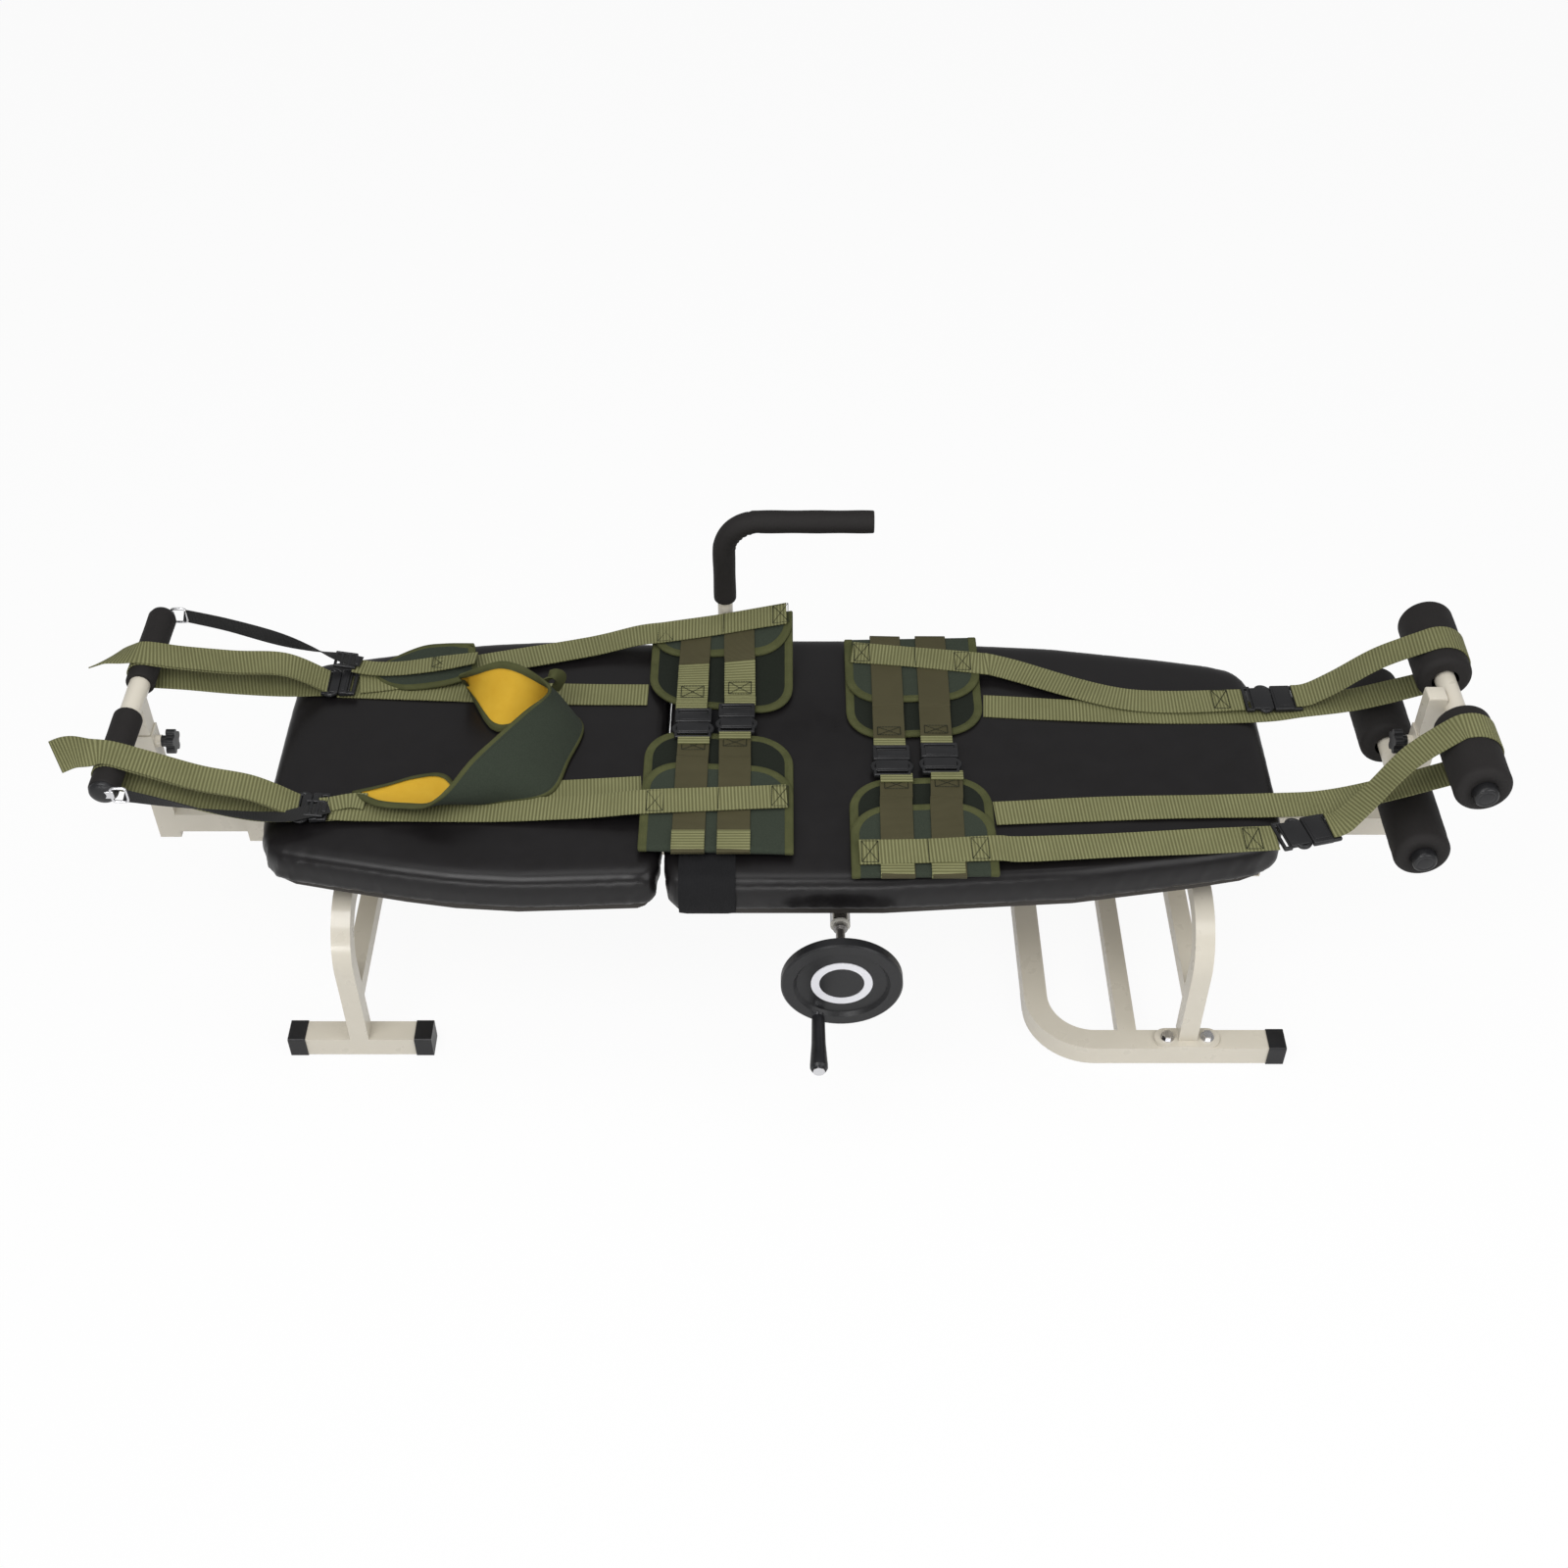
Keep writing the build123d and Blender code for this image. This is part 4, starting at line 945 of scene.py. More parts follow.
def sew_run(piece: Piece, run: Sequence[Point], boxes: Sequence[float], lift: float) -> None:
    """Sew boxes onto a strap that runs along the bed.

    Args:
        piece: The strap's piece; its second material is the thread.
        run: The strap's middle line.
        boxes: The boxes' X.
        lift: How far the stitches lie above the line.
    """
    for x in boxes:
        box_stitch(piece, (x, column_at(run, x, 1), column_at(run, x, 2) + lift), BOX_HALF_X, BOX_HALF_Y, 1)


def sew_across(piece: Piece, x: float, y: float, z: float) -> None:
    """Sew one line of stitches across a strap that runs along the bed."""
    Stitches([(x, y - SEAM_HALF_Y, z), (x, y + SEAM_HALF_Y, z)]).add(piece, 1)


# ---- Cushions


@dataclass
class Profile:
    """The cross-section of a cushion: drawn in below, fullest low on its side, crowned on top."""

    half: float
    rise: float

    tuck: float = 7.0
    shoulder: float = 26.0
    crown: float = 6.0
    fullest: float = 0.42

    def loop(self, swell: float = 0.0) -> list[Pair]:
        """Give the section's points, from the middle of the underside round by the far side.

        Args:
            swell: How far outside the cushion the section lies.

        Returns:
            Pairs of Y and Z, closed on the first point.
        """
        full = CUSHION_TOP - CUSHION_BOTTOM
        low = CUSHION_BOTTOM + self.fullest * (full - self.rise)
        middle = low + self.fullest * self.rise
        sag = self.crown * self.rise / full
        edge = low + self.rise - sag
        points = [((self.half - self.tuck) * k / 12, low - swell) for k in range(13)]
        for turn in (QUARTER * k / 8 for k in range(1, 9)):
            y = self.half + swell - self.tuck * (1 - math.sin(turn))
            points.append((y, middle - (middle - low) * math.cos(turn)))
        for turn in (QUARTER * k / 12 for k in range(1, 13)):
            y = self.half + swell - self.shoulder * (1 - math.cos(turn))
            points.append((y, middle + (edge + swell - middle) * math.sin(turn)))
        reach = self.half + swell - self.shoulder
        points += [(reach * (1 - k / 20), edge + swell + sag * (1 - (1 - k / 20) ** 2)) for k in range(1, 21)]
        return points + [(-y, z) for y, z in reversed(points[:-1])]


@dataclass
class Cushion:
    """A stuffed leatherette section over its board.

    Each row of shares gives a share of the length, and the half-width and the thickness there as
    shares of the whole.
    """

    node: str
    body: str
    start_x: float
    end_x: float
    half: float
    shares: Sequence[Point]
    seed: int

    step: float = 7.0
    frames: int = 18
    staples: float = 9.0
    most_move: float = 3.5
    side_depth: float = 34.0
    end_depth: float = 30.0
    corner: float = 62.0
    folds: Sequence[Pair] = ((31.0, 0.5), (17.0, 0.32), (9.5, 0.16))
    seam_bulge: float = 10.4
    seam_depth: float = 22.0
    seam_half: float = 268.0

    def _outline(self) -> tuple[np.ndarray, np.ndarray, np.ndarray]:
        """Give distances, half-widths and thicknesses along the cushion.

        Returns:
            Three arrays of one length.
        """
        table = np.array(self.shares)
        spans = ((0, 0.03, 14), (0.03, 0.93, 110), (0.93, 1, 24))
        fine = np.concatenate([np.linspace(*span)[1 if place else 0 :] for place, span in enumerate(spans)])
        wide = np.interp(fine, table[:, 0], table[:, 1])
        thick = np.interp(fine, table[:, 0], table[:, 2])
        for _ in range(2):
            wide[8:-8] = np.convolve(wide, (0.25, 0.5, 0.25), "same")[8:-8]
        return fine, wide * self.half, thick * (CUSHION_TOP - CUSHION_BOTTOM)

    def build(self) -> bpy.types.Object:
        """Make the cushion, stuff it with a short cloth simulation and settle its wrinkles.

        Returns:
            The object.
        """
        piece = Piece(f"{self.node}_cover", Finishes.HIDE, smooth=70.0)
        rows = []
        for share, wide, thick in zip(*self._outline()):
            x = self.start_x + (self.end_x - self.start_x) * share
            rows.append([Vector((x, y, z)) for y, z in Profile(wide, thick).loop()[:-1]])
        piece.close_ends(piece.grid(rows, wrap_u=True), len(rows[0]))
        made = piece.done(self.body, self.node)
        self._remesh(made)
        self._stuff(made)
        self._wrinkle(made)
        return made

    def _remesh(self, made: bpy.types.Object) -> None:
        """Give the cover an even mesh.

        Args:
            made: The cover.
        """
        bpy.context.view_layer.objects.active = made
        modifier = made.modifiers.new("Even", "REMESH")
        modifier.mode = "VOXEL"
        modifier.voxel_size = self.step * MM
        modifier.use_smooth_shade = True
        bpy.ops.object.modifier_apply(modifier=modifier.name)
        smooth = made.modifiers.new("Relax", "CORRECTIVE_SMOOTH")
        smooth.iterations = 6
        smooth.use_only_smooth = True
        bpy.ops.object.modifier_apply(modifier=smooth.name)

    @staticmethod
    def _read(made: bpy.types.Object) -> tuple[np.ndarray, np.ndarray]:
        """Give the places and the normals of an object's points."""
        points = made.data.vertices
        return np.array([v.co for v in points]), np.array([v.normal for v in points])

    @staticmethod
    def _write(made: bpy.types.Object, places: np.ndarray) -> None:
        """Move an object's points to new places."""
        made.data.vertices.foreach_set("co", places.astype(np.float32).ravel())
        made.data.update()

    def _simulate(self, made: bpy.types.Object) -> None:
        """Blow the cover up for a few frames, held along its stapled underside.

        Args:
            made: The cover.
        """
        group = made.vertex_groups.new(name="stapled")
        low = LAYOUT.place((0, 0, CUSHION_BOTTOM + self.staples)).z
        group.add([v.index for v in made.data.vertices if v.co.z < low], 1.0, "REPLACE")
        modifier = made.modifiers.new("Stuff", "CLOTH")
        cloth = modifier.settings
        cloth.quality = 4
        cloth.mass = 0.4
        cloth.tension_stiffness = 25
        cloth.compression_stiffness = 12
        cloth.bending_stiffness = 0.6
        cloth.use_pressure = True
        cloth.uniform_pressure_force = 4
        cloth.shrink_min = -0.012
        cloth.vertex_group_mass = "stapled"
        cloth.effector_weights.gravity = 0
        modifier.collision_settings.use_collision = False
        modifier.point_cache.frame_start = 1
        modifier.point_cache.frame_end = self.frames
        for frame_number in range(1, self.frames + 1):
            bpy.context.scene.frame_set(frame_number)
        bpy.context.view_layer.objects.active = made
        bpy.ops.object.modifier_apply(modifier=modifier.name)
        bpy.context.scene.frame_set(1)

    def _stuff(self, made: bpy.types.Object) -> None:
        """Stuff the cover, with its movement capped and its top kept flat.

        Args:
            made: The cover.
        """
        before, normal = self._read(made)
        self._simulate(made)
        after, _ = self._read(made)
        move = after - before
        size = np.linalg.norm(move, axis=1, keepdims=True)
        move *= np.minimum(1.0, self.most_move * MM / np.maximum(size, 1e-9))
        move *= (1 - 0.96 * np.clip(normal[:, 2] / 0.85, 0, 1))[:, None]
        self._write(made, before + move)
        relax = made.modifiers.new("Even out", "SMOOTH")
        relax.factor = 0.5
        relax.iterations = 7
        bpy.ops.object.modifier_apply(modifier=relax.name)
        log.info("%s stuffed: mean move %.2f mm", made.name, float(size.mean()) * 1000)

    def _wrinkle(self, made: bpy.types.Object) -> None:
        """Pull small tension folds into the sides and the corners, and bulge the end at the gap.

        Args:
            made: The cover.
        """
        chance = np.random.default_rng(self.seed)
        co, normal = self._read(made)
        x, y, z = ((co - np.array(LAYOUT.shift)) / MM).T
        share = (x - self.start_x) / (self.end_x - self.start_x)
        wide = np.interp(share, [row[0] for row in self.shares], [row[1] for row in self.shares]) * self.half
        inside = wide - np.abs(y)
        end = np.minimum(np.abs(x - self.start_x), np.abs(x - self.end_x))
        side = np.clip(1 - inside / self.side_depth, 0, 1) + np.clip(1 - end / self.end_depth, 0, 1)
        low = np.clip((CUSHION_TOP - Profile.crown - z) / self.side_depth, 0, 1)
        corner = np.exp(-(np.hypot(np.maximum(inside, 0), end) / self.corner) ** 2)
        run = x + 0.8 * y * np.sign(y)
        folds = np.zeros(len(co))
        for pitch, size in self.folds:
            phase = chance.uniform(0, TURN)
            drift = 0.6 * np.sin(z / 11.0 + phase) + 0.9 * np.sin(run / (pitch * 5.3) + phase * 2)
            folds += size * np.sin(TURN * run / pitch + drift * 2 + phase)
        amount = folds * (0.85 * np.clip(side, 0, 1) * low + 1.5 * corner * np.clip(low + 0.35, 0, 1))
        slow = 0.3 * np.sin(x / 83.0 + 1.3) * np.cos(y / 61.0 + 0.4) - 0.3
        co += normal * ((amount + slow) * MM)[:, None]
        way = 1.0 if self.start_x > self.end_x else -1.0
        near = np.clip(1 - np.abs(x - self.start_x) / self.seam_depth, 0, 1)
        near *= np.clip(1 - (y / self.seam_half) ** 6, 0, 1)
        co[:, 0] += way * self.seam_bulge * MM * near
        self._write(made, co)


HEAD_SHARES = (
    (0.0, 0.925, 0.62), (0.01, 0.955, 0.87), (0.03, 0.975, 1.0), (0.336, 1.0, 1.0),
    (0.5, 0.975, 1.0), (0.631, 0.93, 1.0), (0.836, 0.842, 1.0), (0.93, 0.8, 1.0),
    (0.965, 0.76, 0.97), (0.988, 0.68, 0.85), (1.0, 0.56, 0.62),
)
FOOT_SHARES = (
    (0.0, 0.95, 0.62), (0.007, 0.975, 0.87), (0.02, 1.0, 1.0), (0.343, 1.0, 1.0),
    (0.54, 0.955, 1.0), (0.656, 0.93, 1.0), (0.844, 0.833, 1.0), (0.94, 0.77, 1.0),
    (0.975, 0.72, 0.97), (0.992, 0.65, 0.85), (1.0, 0.56, 0.62),
)


@dataclass
class ElasticBelt:
    """The elastic band round the foot cushion, next to the gap."""

    x_low: float = -157.0
    x_high: float = -72.0
    steps: int = 14
    stand_off: float = 1.6
    hem: Pair = (1.1, 0.5)
    waist: float = CUSHION_BOTTOM + 35.0

    def build(self) -> bpy.types.Object:
        """Make the band with its hemmed edges.

        Returns:
            The object.
        """
        piece = Piece("elastic_band", Finishes.ELASTIC, smooth=60.0)
        section = Profile(BED_HALF, CUSHION_TOP - CUSHION_BOTTOM).loop(1.0)
        run = [0.0]
        for (y0, z0), (y1, z1) in zip(section, section[1:]):
            run.append(run[-1] + math.hypot(y1 - y0, z1 - z0))
        rows, texture = [], []
        for k in range(self.steps + 1):
            x = self.x_low + (self.x_high - self.x_low) * k / self.steps
            lift = self.stand_off - (*self.hem, 0.0)[min(k, self.steps - k, 2)]
            rows.append([self._raised(x, y, z, lift) for y, z in section])
            texture.append([((x - self.x_low) * MM, s * MM) for s in run])
        piece.grid(rows, uv=texture)
        inner = [[self._drawn_in(point) for point in row] for row in rows]
        piece.grid(inner, uv=texture)
        for edge in (0, -1):
            piece.grid([rows[edge], inner[edge]], uv=[texture[edge], texture[edge]])
        return piece.done("carriage", "elastic_belt")

    def _raised(self, x: float, y: float, z: float, lift: float) -> Vector:
        """Lift a point of the cushion's section outwards."""
        return Vector((x, y * (1 + lift / 290), z + lift * (1 if z > self.waist else -1) * 0.9))

    def _drawn_in(self, point: Vector) -> Vector:
        """Give the inner face's point under an outer one."""
        return Vector((point.x, point.y * 0.992, self.waist + (point.z - self.waist) * 0.95))


# ---- Foam and rollers


def dome(start: float, rise: float, radius: float, steps: int) -> list[Pair]:
    """Give the profile of a rounded end, as distances along the axis and radii."""
    turns = (QUARTER * k / steps for k in range(steps + 1))
    return [(start + rise * math.sin(turn), radius * math.cos(turn) + 1e-4) for turn in turns]


@dataclass
class Roller:
    """A foam roller on its hub, with a domed plug outside.

    The tables are pairs of distance from the foam's outer end and radius.
    """

    node: str
    centre: Point
    side: Side

    inner: float = 48.0
    outer: float = 198.0
    soft: float = 12.0
    hub: float = 21.0
    uneven: float = 0.25
    foam_end: Sequence[Pair] = ((-0.8, 20.0), (-2.4, 18.2))
    plug: Sequence[Pair] = ((-3.0, 19.0), (8.6, 18.6), (12.4, 17.8), (14.0, 16.2), (14.6, 13.6), (13.9, 12.0))
    plug_dome: Point = (13.9, 1.1, 11.4)

    def build(self) -> bpy.types.Object:
        """Make the roller.

        Returns:
            The object.
        """
        piece = Piece(f"{self.node}_foam", Finishes.FOAM, extra=[Finishes.PLASTIC], smooth=50.0)
        chance = random.Random(self.node)
        turns = [QUARTER * k / 7 for k in range(8)]
        round_off = [(self.soft * (1 - math.cos(turn)), self.soft * (1 - math.sin(turn))) for turn in turns]
        length = self.outer - self.inner - 2 * self.soft
        profile = [(self.inner, self.hub)]
        profile += [(self.inner + a, ROLLER_RADIUS - b) for a, b in round_off]
        for k in range(1, 16):
            along = self.inner + self.soft + length * k / 16
            profile.append((along, ROLLER_RADIUS + self.uneven * chance.uniform(-1, 1)))
        profile += [(self.outer - b, ROLLER_RADIUS - a) for a, b in round_off]
        profile += [(self.outer + along, radius) for along, radius in self.foam_end]
        top, rise, radius = self.plug_dome
        plug = [(self.outer + along, radius) for along, radius in self.plug]
        plug += dome(self.outer + top, rise, radius, 5)
        for slot, steps, outline in ((0, 64, profile), (1, 48, plug)):
            turned = [(self.side.value * along, radius) for along, radius in outline]
            piece.lathe(turned, self.centre, steps, slot)
        return piece.done(f"roller_{self.node.replace('_roller', '')}", self.node)


@dataclass
class Sleeve:
    """A foam sleeve on a bar or a bent tube."""

    name: str
    node: str
    body: str
    path: Sequence[Point]
    bore: float
    radius: float
    wave: float = 0.3
    crease: float = 0.0

    sides: int = 36
    end_shrink: float = 0.9

    def build(self, replaces: bool = True) -> bpy.types.Object:
        """Make the sleeve, open along its bore, with its creases inside a bend.

        Args:
            replaces: Whether it stands for its CAD node.

        Returns:
            The object.
        """
        piece = Piece(self.name, Finishes.FOAM, smooth=50.0)
        points, _ = Curve(self.path).sampled(4.0)
        frames = Curve(points).frames(Vector((0.3, 1.0, 0.2)))
        last = len(frames) - 1
        bores = [
            [centre + out * self.bore for out in spokes(side, up, self.sides)]
            for centre, _, side, up in frames
        ]
        rows = [bores[0]]
        for place, (centre, _, side, up) in enumerate(frames):
            reach = self.radius + self.wave * math.sin(place * 0.37) * 0.5
            if place in (0, last):
                reach -= self.end_shrink
            turn = frames[min(place + 1, last)][1] - frames[max(place - 1, 0)][1]
            pinch = self.crease * math.sin(place * 1.9)
            outs = spokes(side, up, self.sides)
            rows.append([centre + out * (reach + max(out.dot(turn), 0.0) * pinch) for out in outs])
        piece.grid([*rows, *reversed(bores)], wrap_u=True)
        return piece.done(self.body, *([self.node] if replaces else []))


# ---- Felt pads

SPRING_LENGTH = 212.0
SPRING_START_Y = 100.0
SPRING_WIDTH = 165.0
SPRING_RISE = 40.0
SPRING_EASE = 0.15
CROWN_DROP = 5.0
CROWN_HALF = 262.0


def spring_back(x: float, y: float) -> float:
    """Give how far the far chest pad's folded corner springs up from the cushion at a place on it.

    Args:
        x: Its place along the bed.
        y: Its place across the bed.

    Returns:
        The rise in millimetres.
    """
    along = min(max((x + SPRING_LENGTH) / SPRING_LENGTH, 0.0), 1.06)
    across = min(max((y - SPRING_START_Y) / SPRING_WIDTH, 0.0), 1.0)
    rise = SPRING_RISE * (1 + SPRING_EASE) * along * along / (along + SPRING_EASE)
    return rise * across * across * (3.0 - 2.0 * across)


def crown_drop(y: float) -> float:
    """Give how far the cushion's top falls below its middle at a place across the bed."""
    return CROWN_DROP * min(abs(y) / CROWN_HALF, 1.0) ** 2


@dataclass
class FeltPad:
    """A felt strip folded at the bed's outer side, bound all round with tape.

    The fold and the ends of the strip's lower layer (tongue) and upper layer (flap) are places
    across the bed, as shares of its half-width.
    """

    node: str
    body: str
    low_x: float
    length: float
    bottom: float
    fold: float
    tongue: float
    flap: float
    skew: float
    seed: int

    corner: float = 62.0
    bend: float = FELT / 2 + 0.4
    rows: int = 46
    columns: int = 28
    step: float = 6.0
    seam: float = 10.6

    def _flat(self) -> Pair:
        """Give the lengths of the tongue and of the flap from the middle of the fold.

        Returns:
            The two lengths.
        """
        tongue, flap = (abs(self.fold * BED_HALF - end * BED_HALF) for end in (self.tongue, self.flap))
        bend = math.pi * self.bend / 2
        return tongue - FELT + bend, flap - FELT + bend

    def _bent(self, x: float, run: float, lift: float) -> Vector:
        """Bend a flat point round the fold.

        Args:
            x: Its place along the bed, from the pad's low edge.
            run: Its distance from the fold's middle, negative along the tongue.
            lift: Its height above the strip's middle surface.

        Returns:
            The layout point.
        """
        inward = -1.0 if self.fold > 0 else 1.0
        quarter = math.pi * self.bend / 2
        centre_y = self.fold * BED_HALF + inward * (self.bend + FELT / 2)
        centre_z = self.bottom + FELT / 2 + self.bend
        share = x / self.length
        lean = self.skew * (share - 0.5)
        if abs(run) <= quarter:
            angle = run / self.bend
            reach = self.bend + lift
            y = centre_y + lean - inward * reach * math.cos(angle)
            return Vector((self.low_x + x, y, centre_z + reach * math.sin(angle)))
        flat = abs(run) - quarter
        y = centre_y + inward * flat + lean * (1 + flat / 160.0)
        if run < 0:
            return Vector((self.low_x + x, y, centre_z - self.bend - lift))
        wave = 0.9 * math.sin(share * 5.1 + self.seed) * min(abs(run) / 90.0, 1.0)
        return Vector((self.low_x + x, y, centre_z + self.bend + lift + max(wave, 0) * 1.2))

    def _edge(self, count: int) -> list[Pair]:
        """Give the strip's flat outline as pairs of x and run, round once with the strip on its left.

        Args:
            count: Steps of each rounded corner.

        Returns:
            The pairs.
        """
        tongue, flap = self._flat()
        wide = self.length
        points: list[Pair] = []
        for corner, (x, run) in enumerate(((wide, flap), (0.0, flap), (0.0, -tongue), (wide, -tongue))):
            r = min(self.corner, abs(run) * 0.8)
            centre = (x - math.copysign(r, x - wide / 2), run - math.copysign(r, run))
            for k in range(count + 1):
                angle = QUARTER * corner + QUARTER * k / count
                points.append((centre[0] + r * math.cos(angle), centre[1] + r * math.sin(angle)))
        dense: list[Pair] = []
        for (x, run), (x_on, run_on) in zip(points, [*points[1:], points[0]]):
            gap = math.hypot(x_on - x, run_on - run)
            dense.append((x, run))
            stops: set[float] = set()
            if gap > 1.5 * self.step:
                stops = {k * self.step / gap for k in range(1, int(gap // self.step) + 1)}
            if run * run_on < 0:
                stops |= {(k * 0.8 - run) / (run_on - run) for k in range(-7, 8)}
            spots = sorted(stop for stop in stops if 0.02 < stop < 0.99)
            dense += [(x + (x_on - x) * stop, run + (run_on - run) * stop) for stop in spots]
        return dense

    def _rim(self, count: int) -> Iterator[tuple[float, float, float, float]]:
        """Give the outline's points, each with the way out of the strip there.

        Args:
            count: Steps of each rounded corner.

        Yields:
            Rows of x, run, and the x and the run of the way out.
        """
        edge = self._edge(count)
        for (x0, r0), (x, run), (x1, r1) in zip([edge[-1], *edge], edge, [*edge[1:], edge[0]]):
            size = math.hypot(x1 - x0, r1 - r0) or 1.0
            yield x, run, (r1 - r0) / size, (x0 - x1) / size

    def build(self) -> bpy.types.Object:
        """Make the pad with its binding and the stitches along it.

        Returns:
            The object.
        """
        extra = [Finishes.BINDING, Finishes.THREAD, Finishes.INSIDE]
        sprung = self.node == "chest_pad_far"
        piece = Piece(f"{self.node}_felt", Finishes.FELT, extra=extra, smooth=60.0, sprung=sprung)
        tongue, flap = self._flat()
        even = [-tongue + 1 + (tongue + flap - 2) * k / self.rows for k in range(self.rows + 1)]
        bend = [k * math.pi * self.bend / 12 for k in range(-6, 7)]
        runs = sorted({round(run, 3) for run in even + bend})
        lift = FELT / 2 - 0.3
        rows, texture = [], []
        for run in runs:
            reach = flap if run > 0 else tongue
            r = min(self.corner, reach * 0.8)
            over = max(abs(run) - (reach - r), 0.0)
            inset = min(r - math.sqrt(max(r * r - over * over, 0.0)), self.length / 2 - 1)
            wide = self.length - 2 * inset - 2.0
            across = [inset + 1.0 + wide * k / self.columns for k in range(self.columns + 1)]
            layers = [(x, lift) for x in across] + [(x, -lift) for x in reversed(across)]
            rows.append([self._bent(x, run, up) for x, up in layers])
            texture.append([(x * MM, run * MM) for x, _ in layers])
        faces = piece.grid(rows, wrap_u=True, uv=texture)
        count = 2 * (self.columns + 1)
        piece.close_ends(faces, count)
        # The lower layer's upper face, inside the fold, takes the felt's painted shade.
        for place, face in enumerate(faces):
            if runs[place // count] < -2.0 and place % count > self.columns:
                face.material_index = 3
        self._bind(piece)
        self._sew(piece)
        made = piece.done(self.body, self.node)
        return made

    def _bind(self, piece: Piece) -> None:
        """Fold a tape over the strip's edge, all the way round.

        Args:
            piece: The pad's piece.
        """
        half = FELT / 2 + 0.35
        section = [(-13.0, half - 0.7), (-12.2, half), (-2.0, half + 0.1), (-0.2, half * 0.72), (0.5, 0.0)]
        section += [(reach, -lift) for reach, lift in reversed(section[:-1])]
        rows, texture = [], []
        along = 0.0
        before: Pair | None = None
        for x, run, out_x, out_r in self._rim(14):
            if before is not None:
                along += math.hypot(x - before[0], run - before[1])
            before = (x, run)
            rows.append([self._bent(x + out_x * out, run + out_r * out, lift) for out, lift in section])
            texture.append([(step * 3.2 * MM, along * MM) for step in range(len(section))])
        piece.grid(rows, wrap_v=True, slot=1, uv=texture)

    def _sew(self, piece: Piece) -> None:
        """Run a line of stitches along the binding's inner edge, on both outer faces.

        Args:
            piece: The pad's piece.
        """
        rim = list(self._rim(10))
        for face in (1.0, -1.0):
            level = face * (FELT / 2 + 0.5)
            kept = [row for row in rim if face * row[1] <= 0]
            path = [self._bent(x - a * self.seam, run - b * self.seam, level) for x, run, a, b in kept]
            for a, b in zip(path, path[1:]):
                if (b - a).length < 40:
                    Stitches((a, b), THREAD_PITCH, THREAD_RADIUS).add(piece, 2)


# ---- Buckles and adjusters


@dataclass
class SideBuckle:
    """A side-release buckle that joins two straps, along Y before it is turned.

    The window's walls and the prongs are a width and two distances from the buckle's end. The
    arm's points are measured from the side and from the middle.
    """

    centre: Point
    yaw: float = 0.0
    width: float = 58.0
    length: float = 68.0
    height: float = 10.0
    window: Point = (6.0, 16.0, 3.0)
    prong: Point = (5.0, 1.0, 14.0)
    arm: Sequence[Pair] = ((-7.0, -2.0), (-1.5, -7.0), (0.6, -13.0), (-1.2, -19.0), (-6.5, -22.0))

    def add(self, piece: Piece) -> None:
        """Add the buckle's two halves to a piece.

        Args:
            piece: Where it goes.
        """
        kept = set(piece.mesh.verts)
        w, l, h = self.width / 2, self.length / 2, self.height
        # Socket half: shell with side windows, its bar slot and a rim
        piece.block((-w, 0.6, 0), (w, l - 13, h), 2.2)
        piece.block((-w, l - 6, 1.2), (w, l, h - 1.2), 2.4)
        wide, start, stop = self.window
        for x in (-w, w - wide):
            piece.block((x, l - start, 1.2), (x + wide, l - stop, h - 1.2), 1.8)
        piece.block((-w + 6, l - 12.4, h - 3.6), (w - 6, l - 9.2, h - 0.8), 1.0)
        piece.block((-w + 7, 4, h - 0.4), (w - 7, l - 17, h + 0.9), 0.8)
        # Plug half: side arms that stand out at the windows, body and ladder bars
        piece.block((-w + 3.4, -l + 12, 0.8), (w - 3.4, 0, h - 0.8), 2.0)
        for sign in (-1, 1):
            points, _ = Curve([Vector((sign * (w + x), y, h / 2)) for x, y in self.arm]).sampled(2.0)
            piece.tube(points, h / 2 - 0.9, 10)
        wide, start, stop = self.prong
        for x in (-w, w - wide):
            piece.block((x, -l + start, 1.0), (x + wide, -l + stop, h - 1.0), 1.8)
        piece.block((-w, -l, 1.0), (w, -l + 5, h - 1.0), 2.2)
        piece.block((-w + 5, -l + 8.2, h - 3.4), (w - 5, -l + 11.4, h - 0.6), 1.0)
        piece.move(kept, Matrix.Rotation(math.radians(self.yaw), 3, "Z"), self.centre)


@dataclass
class Adjuster:
    """A ladder-lock slider, along X."""

    centre: Point
    width: float
    length: float
    height: float
    tilt: float

    def add(self, piece: Piece) -> None:
        """Add the slider to a piece.

        Args:
            piece: Where it goes.
        """
        kept = set(piece.mesh.verts)
        w, l, h = self.width / 2, self.length / 2, self.height
        for y in (-w, w - 4.5):
            piece.block((-l, y, 0), (l, y + 4.5, h), 1.8)
        for x, lift in ((-l + 2.6, 0.0), (-l / 3, 1.2), (l / 3, 1.2), (l - 2.6, 0.0)):
            piece.block((x - 2.4, -w + 3, 0.6 + lift), (x + 2.4, w - 3, h - 1.0 + lift), 1.4)
        piece.block((l - 3.0, -w + 8, h - 1.2), (l + 4.0, w - 8, h + 1.6), 1.3)
        piece.move(kept, Matrix.Rotation(math.radians(self.tilt), 3, "Y"), self.centre)


# ---- Chest harness


